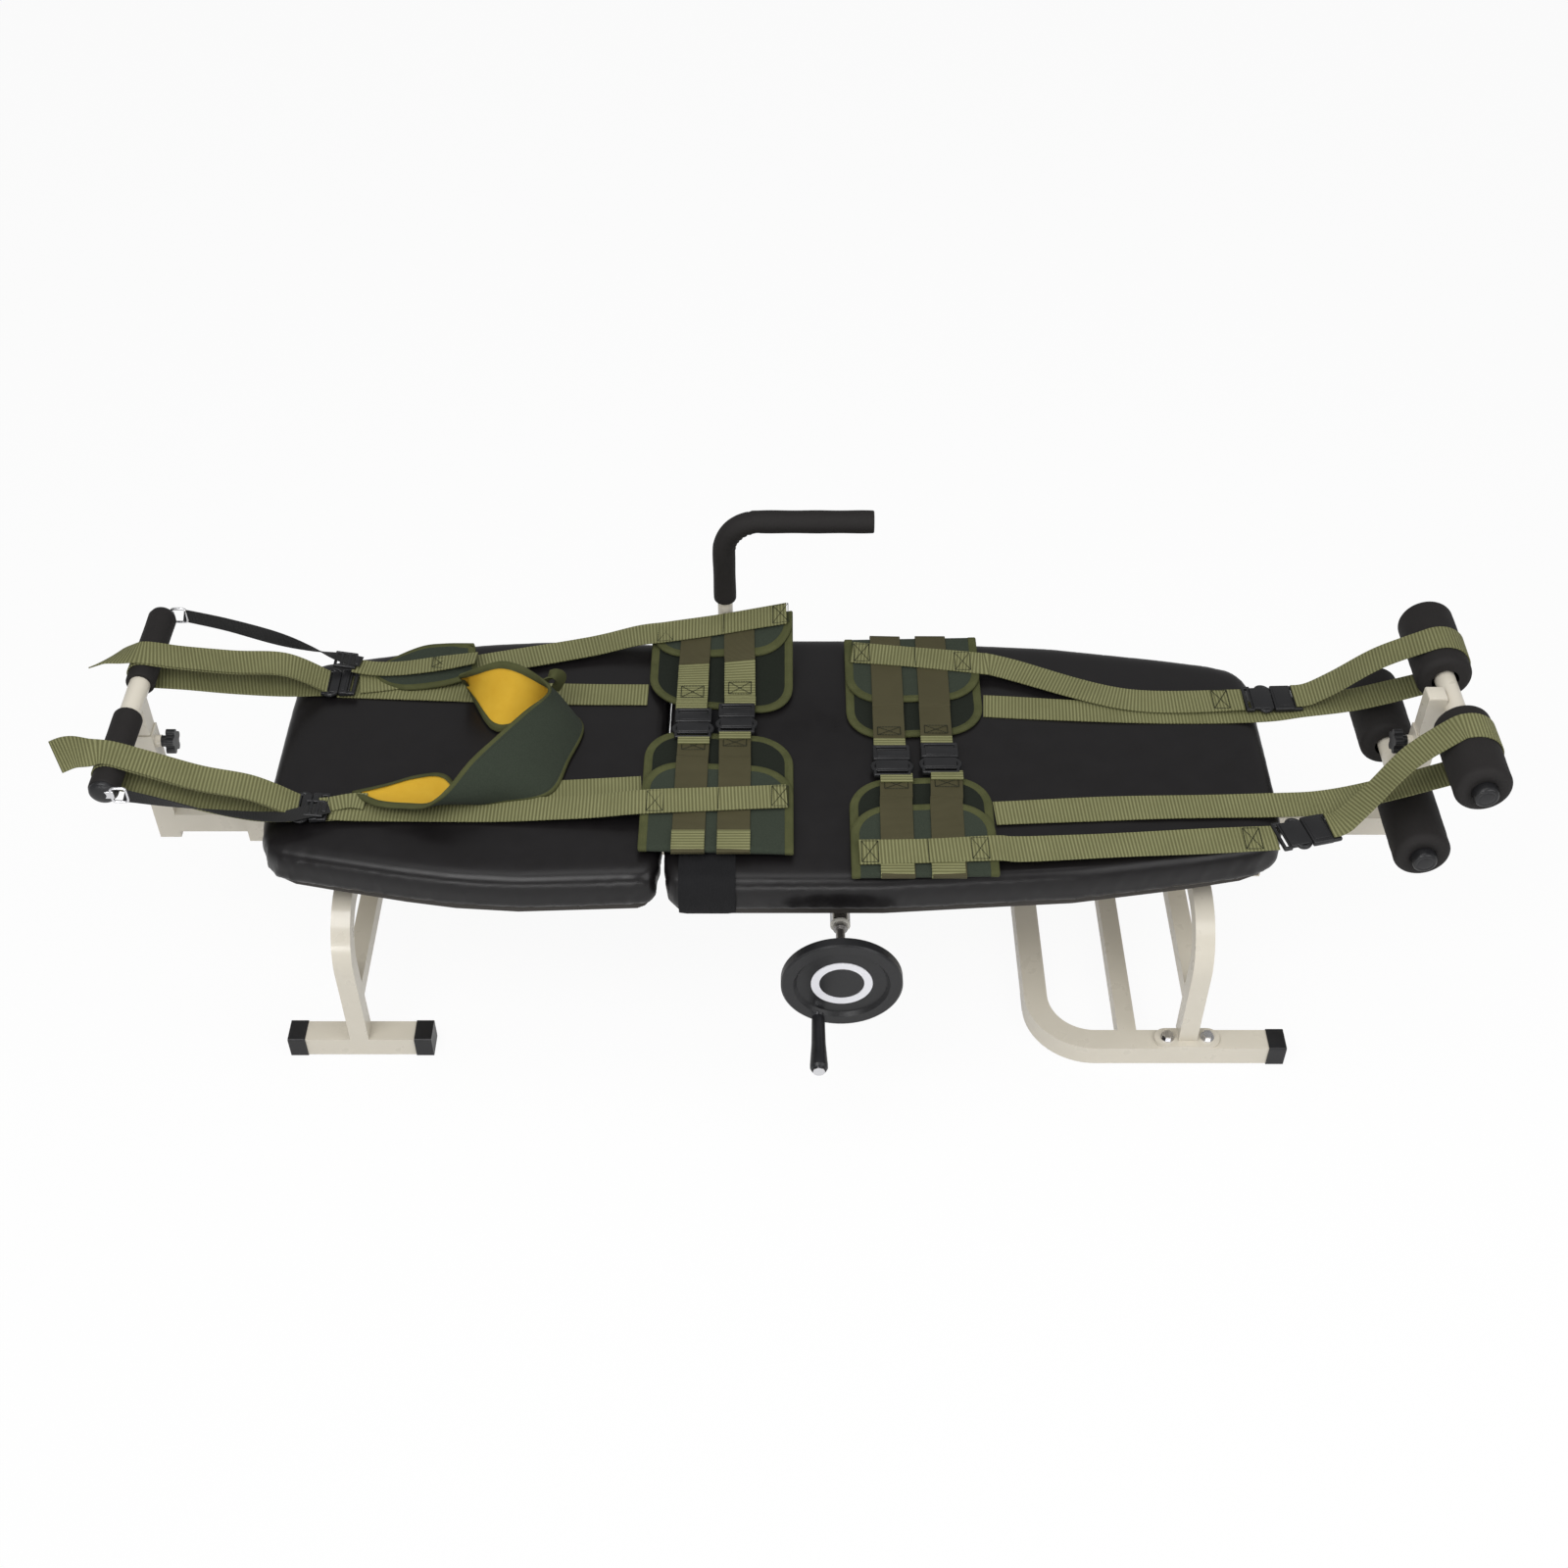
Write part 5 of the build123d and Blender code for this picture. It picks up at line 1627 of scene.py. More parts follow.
@dataclass
class ChestStrap:
    """A webbing loop from a chest pad over the head bar and back, with its sprung tail.

    Places across the bed are shares of the head bar's half-width; places along it are shares of
    the way from the buckle to the head bar (run) or to the pad (lie and top).
    """

    side: Side
    lock_y: float
    run: Sequence[Point]
    bar_y: float
    lie: Sequence[Pair]
    top: Sequence[Point]
    tail: Sequence[tuple[float, float, float, float]]

    lock_x: float = -722.0
    lie_end: float = -220.0
    top_end: float = 4.0
    wrap: float = 24.0
    climb: float = HEAD_BAR_Z - CUSHION_TOP
    lock_levels: Point = (433.5, 438.0, 441.0)
    tail_lift: float = 2.8
    pad_rise: float = 17.2

    def build(self) -> bpy.types.Object:
        """Make the loop, its runs along the cushion and its tail.

        Returns:
            The object.
        """
        node = f"chest_strap_{self.side.word}"
        sprung = self.side is Side.FAR
        piece = Piece(f"{node}_webbing", Finishes.OLIVE, extra=[Finishes.THREAD], smooth=60.0, sprung=sprung)
        self._loop(piece)
        self._lying(piece)
        body = ("base_frame", "head_bar_slider", (-745.0, 0.0, 450.0), (-970.0, 0.0, 450.0))
        return piece.done(body, node)

    def _loop(self, piece: Piece) -> None:
        """Add the loop over the head bar, and the tail that lies on it.

        Args:
            piece: The strap's piece.
        """
        lock_x, lock_y, bar_y = self.lock_x - 16.0, BAR_HALF * self.lock_y, BAR_HALF * self.bar_y
        way = HEAD_POST_X - self.lock_x
        level = CUSHION_TOP + self.wrap
        under, over, above = self.lock_levels
        out = [(self.lock_x + way * s, BAR_HALF * y, level + self.climb * h) for s, y, h in self.run]
        turn = bar_wrap((HEAD_POST_X, bar_y, HEAD_BAR_Z), self.wrap, 66.0, 186.0, 16)
        back = [(x, y, z - 1.8 * self.wrap) for x, y, z in reversed(out)]
        loop = [(lock_x, lock_y, over), *out, *turn, *back, (lock_x, lock_y, under)]
        Ribbon(loop, wobble=1.2, seed=3 + self.side.value).add(piece)
        crest = HEAD_BAR_Z + self.wrap + self.tail_lift
        tail = [(lock_x, lock_y, above, 0.0), *((x, y, z + self.tail_lift, 0.0) for x, y, z in out)]
        tail += [(HEAD_POST_X + dx, bar_y + dy, crest + dz, lean) for dx, dy, dz, lean in self.tail]
        Ribbon(tail, wobble=1.5, seed=8 + self.side.value).add(piece)

    def _lying(self, piece: Piece) -> None:
        """Add the runs under and over the pad, and sew the upper one to it.

        Args:
            piece: The strap's piece.
        """
        lie = []
        for s, share in self.lie:
            y = BAR_HALF * share
            x = self.lock_x + (self.lie_end - self.lock_x) * s
            lie.append((x, y, CUSHION_TOP + 1.6 - crown_drop(y)))
        Ribbon(lie, wobble=0.8, seed=21).add(piece)
        level = CUSHION_TOP + 1.4
        way = self.top_end - self.lock_x
        top = [(self.lock_x + way * s, BAR_HALF * y, level + self.pad_rise * h) for s, y, h in self.top]
        Ribbon(top, wobble=1.0, seed=34).add(piece)
        sew_run(piece, top, (-6.0, -196.0), 1.4)
        sew_across(piece, -100.0, column_at(top, -100.0, 1), level + 18.6)


@dataclass
class CrossBelts:
    """Two belts across the bed, each with a side-release buckle.

    The folds are the places of a pad's fold and of its flap's edge, far side first, as shares of
    the bed's half-width. A row is a belt's X, its buckle's Y, and how far its far and near halves
    lean along the bed.
    """

    part: str
    body: str
    bottom: float
    folds: Sequence[Pair]
    rows: Sequence[tuple[float, float, float, float]]

    buckle_reach: float = 33.0
    overhang: float = 16.0

    def build(self) -> None:
        """Make the belts and their buckles."""
        extra = [Finishes.OLIVE, Finishes.THREAD]
        sprung = self.part == "chest"
        belts = Piece(f"{self.part}_belt_webbing", Finishes.DARK, extra=extra, smooth=60.0, sprung=sprung)
        buckles = Piece(f"{self.part}_side_buckles", Finishes.PLASTIC, smooth=35.0)
        for x, buckle_y, *leans in self.rows:
            for sign, lean, (fold, flap) in zip((1, -1), leans, self.folds):
                end = buckle_y + sign * self.buckle_reach
                self._belt(belts, x, end, sign, lean, fold * BED_HALF, flap * BED_HALF)
            SideBuckle((x, buckle_y, self.bottom + FELT + 0.4)).add(buckles)
        belts.done(self.body, f"{self.part}_belts")
        buckles.done(self.body, f"{self.part}_buckles")

    def _belt(
        self, belts: Piece, x: float, end: float, sign: int, lean: float, fold: float, flap: float
    ) -> None:
        """Add one half of a belt.

        Args:
            belts: Where it goes.
            x: Where it leaves its pad.
            end: The Y of its end at the buckle.
            sign: The side it comes from.
            lean: How much further along the bed its end is.
            fold: The Y of its pad's fold.
            flap: The Y of the edge of its pad's flap.
        """
        top = self.bottom + 2 * FELT + 1.6
        low = self.bottom + FELT + 3.4
        edge = flap - sign * self.overhang
        path = [
            (x + lean * 0.2, fold + sign * 2.2, self.bottom + FELT),
            (x + lean * 0.2, fold + sign * 1.4, self.bottom + 1.5 * FELT + 1.6),
            (x + lean * 0.2, fold - sign * 7.0, top),
            (x + lean * 0.5, flap, top + 0.4),
            (x + lean * 0.7, edge, top - 1.0),
            (x + lean * 0.85, edge * 0.35 + end * 0.65, low + 1.8),
            (x + lean, end + sign * 2.0, low + 1.5),
        ]
        Ribbon(path, across=LENGTHWAYS, wobble=1.0, seed=int(x) + sign, step=4.0).add(belts)
        keeper = [(x + lean, end + sign * dy, low + dz) for dy, dz in ((16.0, 4.4), (5.0, 5.0), (-3.0, 4.0))]
        Ribbon(keeper, across=LENGTHWAYS, step=3.0).add(belts, 1)
        if sign < 0:
            patch = [(x, fold - 1.4, self.bottom + 0.8 * FELT), (x, fold + 1.0, top + 0.6)]
            patch += [(x, fold + 22.0, top + 1.9), (x, fold + 38.0, top + 1.9)]
            Ribbon(patch, across=LENGTHWAYS, step=3.0).add(belts, 1)
        covered = sign > 0 and self.part == "chest"
        if covered:
            cover = [*((a, b - 2.0, c + 2.2) for a, b, c in path[4:6]), (x + lean, end + 4.0, low + 3.9)]
            Ribbon(cover, across=LENGTHWAYS, step=4.0, wobble=0.8, seed=int(x)).add(belts, 1)
        spot = end * 0.68 + flap * 0.32
        rise = sorted((y, z) for _, y, z in path)
        level = max(column_at(rise, y, 1) for y in (spot - 10, spot, spot + 10)) + (4.2 if covered else 1.8)
        box_stitch(belts, (x + lean * 0.85, spot, level), 18.0, 13.0 if covered else 9.0, 2)


# ---- Halter


@dataclass
class FeltBand:
    """A ruled felt band between two edges, with a lining inside and tape round its rim.

    Its piece's materials are the felt, the lining, the tape and the thread, in that order.
    """

    low: Sequence[Point]
    high: Sequence[Point]
    bulge: float = 6.0
    lined: bool = True

    columns: int = 14
    step: float = 7.0
    ease: int = 6
    seam: float = 8.2

    def add(self, piece: Piece) -> None:
        """Add the band to a piece.

        Args:
            piece: Where it goes.
        """
        lows, _ = Curve(self.low).sampled(self.step)
        highs, _ = Curve(self.high).sampled(self.step)
        count = max(len(lows), len(highs))
        lows, highs = self._even(lows, count), self._even(highs, count)
        middles = [(low + high) / 2 for low, high in zip(lows, highs)]
        last = count - 1
        inner, outer, texture = [], [], []
        run = 0.0
        for place, (low, high) in enumerate(zip(lows, highs)):
            way = middles[min(place + 1, last)] - middles[max(place - 1, 0)]
            run += way.length / 2
            normal = way.cross(high - low).normalized()
            arch = self.bulge * min(place, last - place, self.ease) / self.ease
            shares = [k / self.columns for k in range(self.columns + 1)]
            row = [low.lerp(high, t) + normal * arch * math.sin(math.pi * t) for t in shares]
            outer.append([point + normal * FELT / 2 for point in row])
            inner.append([point - normal * FELT / 2 for point in row])
            texture.append([((high - low).length * t * MM, run * MM) for t in shares])
        piece.grid(outer, uv=texture)
        piece.grid(inner, slot=1 if self.lined else 0, uv=texture)
        rim = [(outer[p][0], inner[p][0], outer[p][1]) for p in range(count)]
        rim += [(outer[-1][k], inner[-1][k], outer[-2][k]) for k in range(1, self.columns)]
        rim += [(outer[p][-1], inner[p][-1], outer[p][-2]) for p in reversed(range(count))]
        rim += [(outer[0][k], inner[0][k], outer[1][k]) for k in reversed(range(1, self.columns))]
        self._tape(piece, rim)

    def _tape(self, piece: Piece, rim: Sequence[tuple[Vector, Vector, Vector]]) -> None:
        """Fold tape over the rim and sew it down.

        Args:
            piece: Where it goes.
            rim: Rows of a point outside, its point inside, and a point further in.
        """
        half = FELT / 2 + 0.8
        section = [(11.0, half - 0.6), (9.5, half), (1.0, half), (-1.4, half * 0.5)]
        section += [(reach, -lift) for reach, lift in reversed(section)]
        rows, texture, seam = [], [], []
        run = 0.0
        previous = rim[0][0]
        for outer, inner, within in rim:
            run += (outer - previous).length
            previous = outer
            across = (outer - inner).normalized()
            inward = within - outer
            inward = (inward - across * inward.dot(across)).normalized()
            middle = (outer + inner) / 2
            rows.append([middle + inward * reach + across * lift for reach, lift in section])
            texture.append([(k * 3.0 * MM, run * MM) for k in range(len(section))])
            seam.append(middle + inward * self.seam + across * (half + 0.15))
        piece.grid(rows, wrap_v=True, slot=2, uv=texture)
        for a, b in zip(seam, seam[1:]):
            if 1.0 < (b - a).length < 30.0:
                Stitches((a, b), THREAD_PITCH, THREAD_RADIUS).add(piece, 3)

    @staticmethod
    def _even(points: Sequence[Vector], count: int) -> list[Vector]:
        """Spread points evenly along their own line.

        Args:
            points: The points.
            count: How many are wanted.

        Returns:
            The new points.
        """
        table = np.array([tuple(point) for point in points])
        run = np.concatenate([[0.0], np.cumsum(np.linalg.norm(np.diff(table, axis=0), axis=1))])
        spots = np.linspace(0, run[-1], count)
        return [Vector(row) for row in zip(*(np.interp(spots, run, column) for column in table.T))]


@dataclass
class Halter:
    """The head halter: a lined felt band that stands in a curve, its folded far flap and its tapes."""

    low: Sequence[Point] = (
        (-663, -101, 432), (-612, -85, 433), (-566, -66, 433), (-523, -66, 433), (-482, -122, 433),
        (-423, -121, 433), (-359, -104, 433), (-337, -33, 433), (-320, 47, 433), (-362, 86, 433),
        (-416, 50, 433), (-463, 42, 433), (-512, 140, 433),
    )
    high: Sequence[Point] = (
        (-656, -113, 438), (-618, -147, 451), (-572, -159, 457), (-536, -168, 470), (-505, -149, 486),
        (-474, -101, 500), (-437, -54, 508), (-401, -6, 512), (-366, 41, 514), (-389, 78, 514),
        (-427, 108, 512), (-461, 117, 506), (-517, 108, 488),
    )
    flap_near: Sequence[Point] = (
        (-497, 152, 449), (-552, 140, 438), (-612, 135, 434), (-650, 150, 433), (-668, 168, 433),
    )
    flap_far: Sequence[Point] = (
        (-508, 214, 462), (-560, 232, 446), (-601, 236, 436), (-645, 208, 434), (-672, 178, 433),
    )
    far_tape: Sequence[Sequence[float]] = (
        (-500, 178, 464, 12.0), (-560, 178, 452), (-625, 175, 444), (-672, 177, 442), (-702, 180, 446),
    )
    near_tape: Sequence[Sequence[float]] = (
        (-638, -128, 440, -10.0), (-662, -126, 440), (-690, -134, 440), (-706, -138, 442),
    )
    chin_loop: Sequence[Point] = (
        (-380, 74, 500), (-362, 88, 503), (-355, 94, 490), (-366, 90, 470),
    )
    straps: Sequence[Sequence[Sequence[float]]] = (
        (
            (-690, -146, 446, 0.0), (-724, -160, 449, 0.0), (-760, -176, 455, 12.0), (-830, -188, 475, 30.0),
            (-900, -197, 502, 60.0), (-950, -203, 522, 82.0), (-968, -205, 529, 90.0),
        ),
        (
            (-690, 184, 450, 0.0), (-724, 190, 455, 10.0), (-770, 198, 466, 60.0), (-830, 203, 486, 100.0),
            (-900, 206, 510, 92.0), (-950, 206, 525, 90.0), (-968, 206, 530, 90.0),
        ),
    )

    def build(self) -> None:
        """Make the halter and its two black straps to the hooks of the head bar."""
        extra = [Finishes.LINING, Finishes.BINDING, Finishes.THREAD, Finishes.OLIVE]
        piece = Piece("halter_felt", Finishes.FELT, extra=extra, smooth=60.0)
        FeltBand(self.low, self.high).add(piece)
        FeltBand(self.flap_near, self.flap_far, bulge=-3.0, lined=False).add(piece)
        Ribbon(self.far_tape, width=34.0, wobble=1.0, seed=5).add(piece, 4)
        Ribbon(self.near_tape, width=30.0, wobble=0.6, seed=6).add(piece, 4)
        Ribbon(self.chin_loop, width=26.0, across=Vector((0.75, 0.66, 0.0)), step=3.0).add(piece, 2)
        box_stitch(piece, (-560, 178, 453.8), 12.0, 12.0, 3, -0.1)
        felt = piece.done("base_frame", "halter")
        straps = Piece("halter_strap_webbing", Finishes.TAPE, smooth=60.0)
        for path in self.straps:
            Ribbon(path, width=25.0, thickness=1.6, wobble=1.2, seed=9).add(straps)
        body = ("base_frame", "head_bar_slider", (-735.0, 0.0, 450.0), (-955.0, 0.0, 450.0))
        straps.done(body, "halter_straps")


@dataclass
class BarEnds:
    """The plugs and the chrome loops at the ends of the head bar."""

    loop_y: float = 205.5
    bend: float = 5.0

    def build(self) -> bpy.types.Object:
        """Make both ends in one piece.

        Returns:
            The object.
        """
        piece = Piece("bar_end_loops", Finishes.CHROME, extra=[Finishes.PLASTIC], smooth=50.0)
        for sign in (-1, 1):
            plug = [(197.0, 20.6), *dome(201.0, 6.6, 20.2, 7)]
            turned = [(sign * along, radius) for along, radius in plug]
            piece.lathe(turned, (HEAD_POST_X, 0.0, HEAD_BAR_Z), slot=1)
            y = sign * self.loop_y
            points, _ = Curve(self._loop(y)).sampled(2.5)
            piece.tube(points, 2.2, 12)
            low = (HEAD_POST_X - 2.0, y - 1.6, HEAD_BAR_Z - 7.0)
            piece.block(low, (HEAD_POST_X + 18.0, y + 1.6, HEAD_BAR_Z + 7.0), 1.2)
        return piece.done("head_bar_slider", "head_bar_hooks")

    def _loop(self, y: float) -> list[Point]:
        """Give the closed line of a loop's wire, with its corners rounded.

        Args:
            y: Its place across the bed.

        Returns:
            The line's points.
        """
        x0, x1 = HEAD_POST_X + 14.0, HEAD_POST_X + 37.0
        z0, z1 = HEAD_BAR_Z - 14.0, HEAD_BAR_Z + 13.0
        loop: list[Point] = []
        corners = ((x0, z0, 1, 1), (x1, z0, -1, 1), (x1, z1, -1, -1), (x0, z1, 1, -1))
        for place, (x, z, a, b) in enumerate(corners):
            dx, dz = a * self.bend, b * self.bend
            corner = [(x, y, z + dz), (x + dx * 0.3, y, z + dz * 0.3), (x + dx, y, z)]
            loop += corner[::-1] if place % 2 else corner
        return [*loop, loop[0]]


@dataclass
class Sliders:
    """The side-release buckles of the chest straps and the small adjusters of the halter's straps.

    A row of the adjusters is a centre, a width, a length, a height and a tilt in degrees.
    """

    buckle_width: float = 57.0
    buckle_length: float = 55.0
    buckle_height: float = 9.0
    buckle_yaw: float = -90.0
    adjusters: Sequence[tuple[Point, float, float, float, float]] = (
        ((-712.0, -150.0, 444.6), 34.0, 30.0, 5.0, 6.0),
        ((-716.0, 186.0, 449.0), 36.0, 36.0, 6.0, 10.0),
    )
    buckle_x: float = -720.0
    buckle_z: float = 433.8
    buckle_ys: Pair = (-139.4, 145.4)

    def build(self) -> bpy.types.Object:
        """Make them in one piece.

        Returns:
            The object.
        """
        piece = Piece("strap_sliders", Finishes.PLASTIC, smooth=35.0)
        for y in self.buckle_ys:
            centre = (self.buckle_x, y, self.buckle_z)
            sizes = (self.buckle_yaw, self.buckle_width, self.buckle_length, self.buckle_height)
            SideBuckle(centre, *sizes).add(piece)
        for centre, width, length, height, tilt in self.adjusters:
            Adjuster(centre, width=width, length=length, height=height, tilt=tilt).add(piece)
        return piece.done("base_frame", "strap_adjusters")


# ---- Pelvic harness


@dataclass
class PelvicStrap:
    """A webbing loop from a pelvic pad round an upper roller and back.

    Places are shares of the way from the pad to the roller bar and of the bed's half-width; the
    third number of each is a share of the run's own rise.
    """

    side: Side
    top: Sequence[Point]
    rise: Sequence[Point]
    lie: Sequence[Point]

    start_x: float = 318.0
    wrap: float = ROLLER_RADIUS + 2.0
    roller_share: float = 0.35
    top_rise: float = 10.6
    climb_start: float = 435.0
    climb: float = 139.0
    return_climb: float = 52.0

    def _placed(self, rows: Sequence[Point], low: float, climb: float) -> list[Point]:
        """Turn rows of shares into layout points."""
        way = UPPER_BAR_X - self.start_x
        return [(self.start_x + way * s, BED_HALF * y, low + climb * h) for s, y, h in rows]

    def build(self) -> None:
        """Make the loop and the buckle in its upper run."""
        node = f"pelvic_strap_{self.side.word}"
        piece = Piece(f"{node}_webbing", Finishes.OLIVE, extra=[Finishes.THREAD], smooth=60.0)
        top = self._placed(self.top, CUSHION_TOP + 3.9, self.top_rise)
        Ribbon(top, wobble=1.4, seed=11).add(piece)
        rise = self._placed(self.rise, self.climb_start, self.climb)
        middle = (UPPER_BAR_X, self.side.value * BED_HALF * self.roller_share, UPPER_BAR_Z)
        turn = bar_wrap(middle, self.wrap, 122.0, -196.0, 18)
        lie = self._placed(self.lie, CUSHION_TOP + 1.6, self.return_climb)
        lie = [(x, y, z - crown_drop(y) * (1 - row[2])) for (x, y, z), row in zip(lie, self.lie)]
        last, first = Vector(top[-1]), Vector(rise[0])
        gap = first - last
        way = gap.xy.normalized()
        root = [(first.x + way.x * d, first.y + way.y * d, first.z - 2.0 + 0.12 * d) for d in (-12.0, 10.0)]
        Ribbon([*root, *rise[1:], *turn, *lie], wobble=1.2, seed=13 + self.side.value).add(piece)
        sew_run(piece, top, (top[0][0] + 16.0, self.start_x - 26.0, top[-1][0] - 36.0), 1.5)
        x = (top[0][0] + self.start_x) / 2
        sew_across(piece, x, column_at(top, x, 1), column_at(top, x, 2) + 1.6)
        piece.done(("carriage", "roller_slider", (845.0, 0.0, 450.0), (984.0, 0.0, 450.0)), node)
        buckle = Piece(f"pelvic_slider_{self.side.word}", Finishes.PLASTIC, smooth=35.0)
        centre = ((last.x + first.x) / 2, (last.y + first.y) / 2, last.z - 4.0)
        yaw = math.degrees(way.angle_signed(Vector((0.0, 1.0))))
        SideBuckle(centre, yaw=yaw, width=56.0, length=gap.length - 2.0, height=9.0).add(buckle)
        buckle.done("carriage")


# ---- The bed


@dataclass
class TractionBed:
    """Everything that is drawn over the CAD frame."""

    pads: Sequence[tuple] = (
        ("chest_pad_far", "base_frame", -218.0, 232.0, 432.6, 0.975, 0.3, 0.68, -14.0, 1),
        ("chest_pad_near", "base_frame", -218.0, 232.0, 432.6, -0.81, 0.09, -0.17, -8.0, 2),
        ("pelvic_pad_far", "carriage", 100.0, 218.0, 430.3, 0.89, 0.085, 0.35, 6.0, 3),
        ("pelvic_pad_near", "carriage", 100.0, 218.0, 430.3, -0.975, -0.25, -0.47, 4.0, 4),
    )
    belts: Sequence[tuple] = (
        (
            "chest", "base_frame", 432.6, ((0.975, 0.68), (-0.81, -0.17)),
            ((-143.8, 43.2, -4.0, 2.0), (-75.3, 54.7, 5.0, -2.0)),
        ),
        (
            "pelvic", "carriage", 430.3, ((0.89, 0.35), (-0.975, -0.47)),
            ((167.6, -40.3, -2.0, 6.0), (242.8, -34.6, -3.0, 9.0)),
        ),
    )
    chest_straps: Sequence[tuple] = (
        (
            Side.FAR, 0.72, ((0.28, 0.7, 0.25), (0.55, 0.6, 0.48), (0.8, 0.48, 0.78)),
            0.41, ((0.0, 0.72), (0.35, 0.67), (0.7, 0.63), (1.0, 0.62)),
            (
                (0.045, 0.74, 0.22), (0.12, 0.79, 0.12), (0.3, 0.95, 0.2), (0.55, 1.18, 0.25),
                (0.69, 1.27, 1.02), (0.85, 1.29, 1.0), (1.0, 1.3, 1.0),
            ),
            (
                (0.0, 0.0, 0.0, 0.0), (-30.0, 2.0, -6.0, 10.0),
                (-56.0, 6.0, -16.0, 26.0), (-74.0, 12.0, -34.0, 42.0),
            ),
        ),
        (
            Side.NEAR, -0.69, ((0.28, -0.7, 0.25), (0.55, -0.71, 0.48), (0.8, -0.71, 0.78)),
            -0.71, ((0.0, -0.68), (0.35, -0.6), (0.7, -0.5), (1.0, -0.44)),
            (
                (0.045, -0.69, 0.35), (0.11, -0.69, 0.14), (0.3, -0.69, 0.1), (0.42, -0.69, 0.12),
                (0.58, -0.69, 0.5), (0.7, -0.68, 1.0), (0.85, -0.65, 1.0), (1.0, -0.62, 1.0),
            ),
            (
                (0.0, 0.0, 0.0, 0.0), (-24.0, -6.0, 6.0, -6.0),
                (-44.0, -22.0, 22.0, -14.0), (-57.0, -44.0, 32.0, -24.0),
            ),
        ),
    )
    pelvic_straps: Sequence[tuple] = (
        (
            Side.FAR,
            (
                (-0.29, 0.745, 1.0), (-0.14, 0.7, 1.0), (0.0, 0.65, 1.0), (0.06, 0.63, 0.5),
                (0.33, 0.375, 0.2), (0.59, 0.36, 0.5),
            ),
            ((0.72, 0.37, 0.1), (0.79, 0.37, 0.3), (0.87, 0.36, 0.67)),
            (
                (0.85, 0.34, 0.32), (0.72, 0.32, 0.08), (0.6, 0.29, 0.0), (0.3, 0.29, 0.0),
                (0.004, 0.34, 0.0),
            ),
        ),
        (
            Side.NEAR,
            (
                (-0.29, -0.83, 1.0), (-0.14, -0.82, 1.0), (0.0, -0.8, 1.0), (0.06, -0.79, 0.5),
                (0.33, -0.74, 0.2), (0.59, -0.71, 0.5),
            ),
            ((0.72, -0.63, 0.1), (0.79, -0.54, 0.3), (0.87, -0.43, 0.67)),
            (
                (0.85, -0.38, 0.32), (0.72, -0.43, 0.08), (0.6, -0.44, 0.0), (0.3, -0.46, 0.0),
                (0.004, -0.5, 0.0),
            ),
        ),
    )
    grab_x: float = -98.0
    grab_y: float = 306.0
    grab_top: float = 642.0
    grab_bend: float = 58.0
    bead_half: float = 12.0
    bead_radius: float = 2.0
    bead_steps: int = 15

    def build(self, frame: dict) -> None:
        """Give the CAD nodes their finishes and make the soft pieces.
        """
        self._finish_nodes(frame)
        Cushion("head_cushion", "base_frame", -190.0, -800.0, 285.0, HEAD_SHARES, 4).build()
        Cushion("foot_cushion", "carriage", FOOT_START, 765.0, BED_HALF, FOOT_SHARES, 7).build()
        ElasticBelt().build()
        self._foam()
        for row in self.pads:
            FeltPad(*row).build()
        for row in self.belts:
            CrossBelts(*row).build()
        for row in self.chest_straps:
            ChestStrap(*row).build()
        for row in self.pelvic_straps:
            PelvicStrap(*row).build()
        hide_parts("pelvic_buckles")
        Halter().build()
        Sliders().build()
        BarEnds().build()
        self._welds()

    @staticmethod
    def _finish_nodes(frame: dict) -> None:
        """Put each CAD node's finish on it.
        """
        for row in frame["record"]["subparts"]:
            node = frame["nodes"][row["node"]]
            finish = Finishes.of_slot(row["material_slot"])
            node.data.materials.clear()
            node.data.materials.append(finish.material())
        log.info("finished %d CAD nodes", len(frame["nodes"]))

    def _foam(self) -> None:
        """Make the rollers, the head bar's sleeves and the grab handle's grip."""
        for side in Side:
            Roller(f"upper_roller_{side.word}", (UPPER_BAR_X, 0.0, UPPER_BAR_Z), side).build()
            Roller(f"lower_roller_{side.word}", (LOWER_BAR_X, 0.0, LOWER_BAR_Z), side).build()
        for side in Side:
            path = [(HEAD_POST_X, side.value * y, HEAD_BAR_Z) for y in (38.0, 118.0, 198.0)]
            sleeve = Sleeve(f"bar_foam_{side.word}", "head_bar_foams", "head_bar_slider", path, 16.05, 22.0)
            sleeve.build(replaces=side is Side.NEAR)
        x, y, z, bend = self.grab_x, self.grab_y, self.grab_top, self.grab_bend
        arc = bar_wrap((x + bend, y, z - bend), bend, 180.0, -90.0, 8)
        path = [(x, y, 484.0), (x, y, 540.0), *arc, (60.0, y, z), (145.0, y, z)]
        Sleeve("grab_foam", "grab_handle_foam", "grab_bar", path, 12.55, 18.5, wave=0.5, crease=9.0).build()

    def _welds(self) -> None:
        """Lay weld beads where the frame's tubes meet, in overlapping ripples, and close the roller post."""
        piece = Piece("frame_welds", Finishes.CREAM, smooth=60.0)
        for seed, (x, y, z) in enumerate(product((-700.0, 635.0), (-60.0, 60.0), (270.0, 300.0)), 1):
            phase = random.Random(seed).uniform(0, TURN)
            start, end = Vector((x, y - self.bead_half, z)), Vector((x, y + self.bead_half, z))
            points = [start.lerp(end, k / self.bead_steps) for k in range(self.bead_steps + 1)]
            piece.tube(points, lambda share: self._ripple(share, phase), 8)
        piece.done("base_frame")
        cap = Piece("roller_post_cap", Finishes.CREAM, smooth=40.0)
        cap.block((986.9, -14.1, 543.0), (1015.1, 14.1, 547.4), 1.1)
        cap.done("roller_slider")

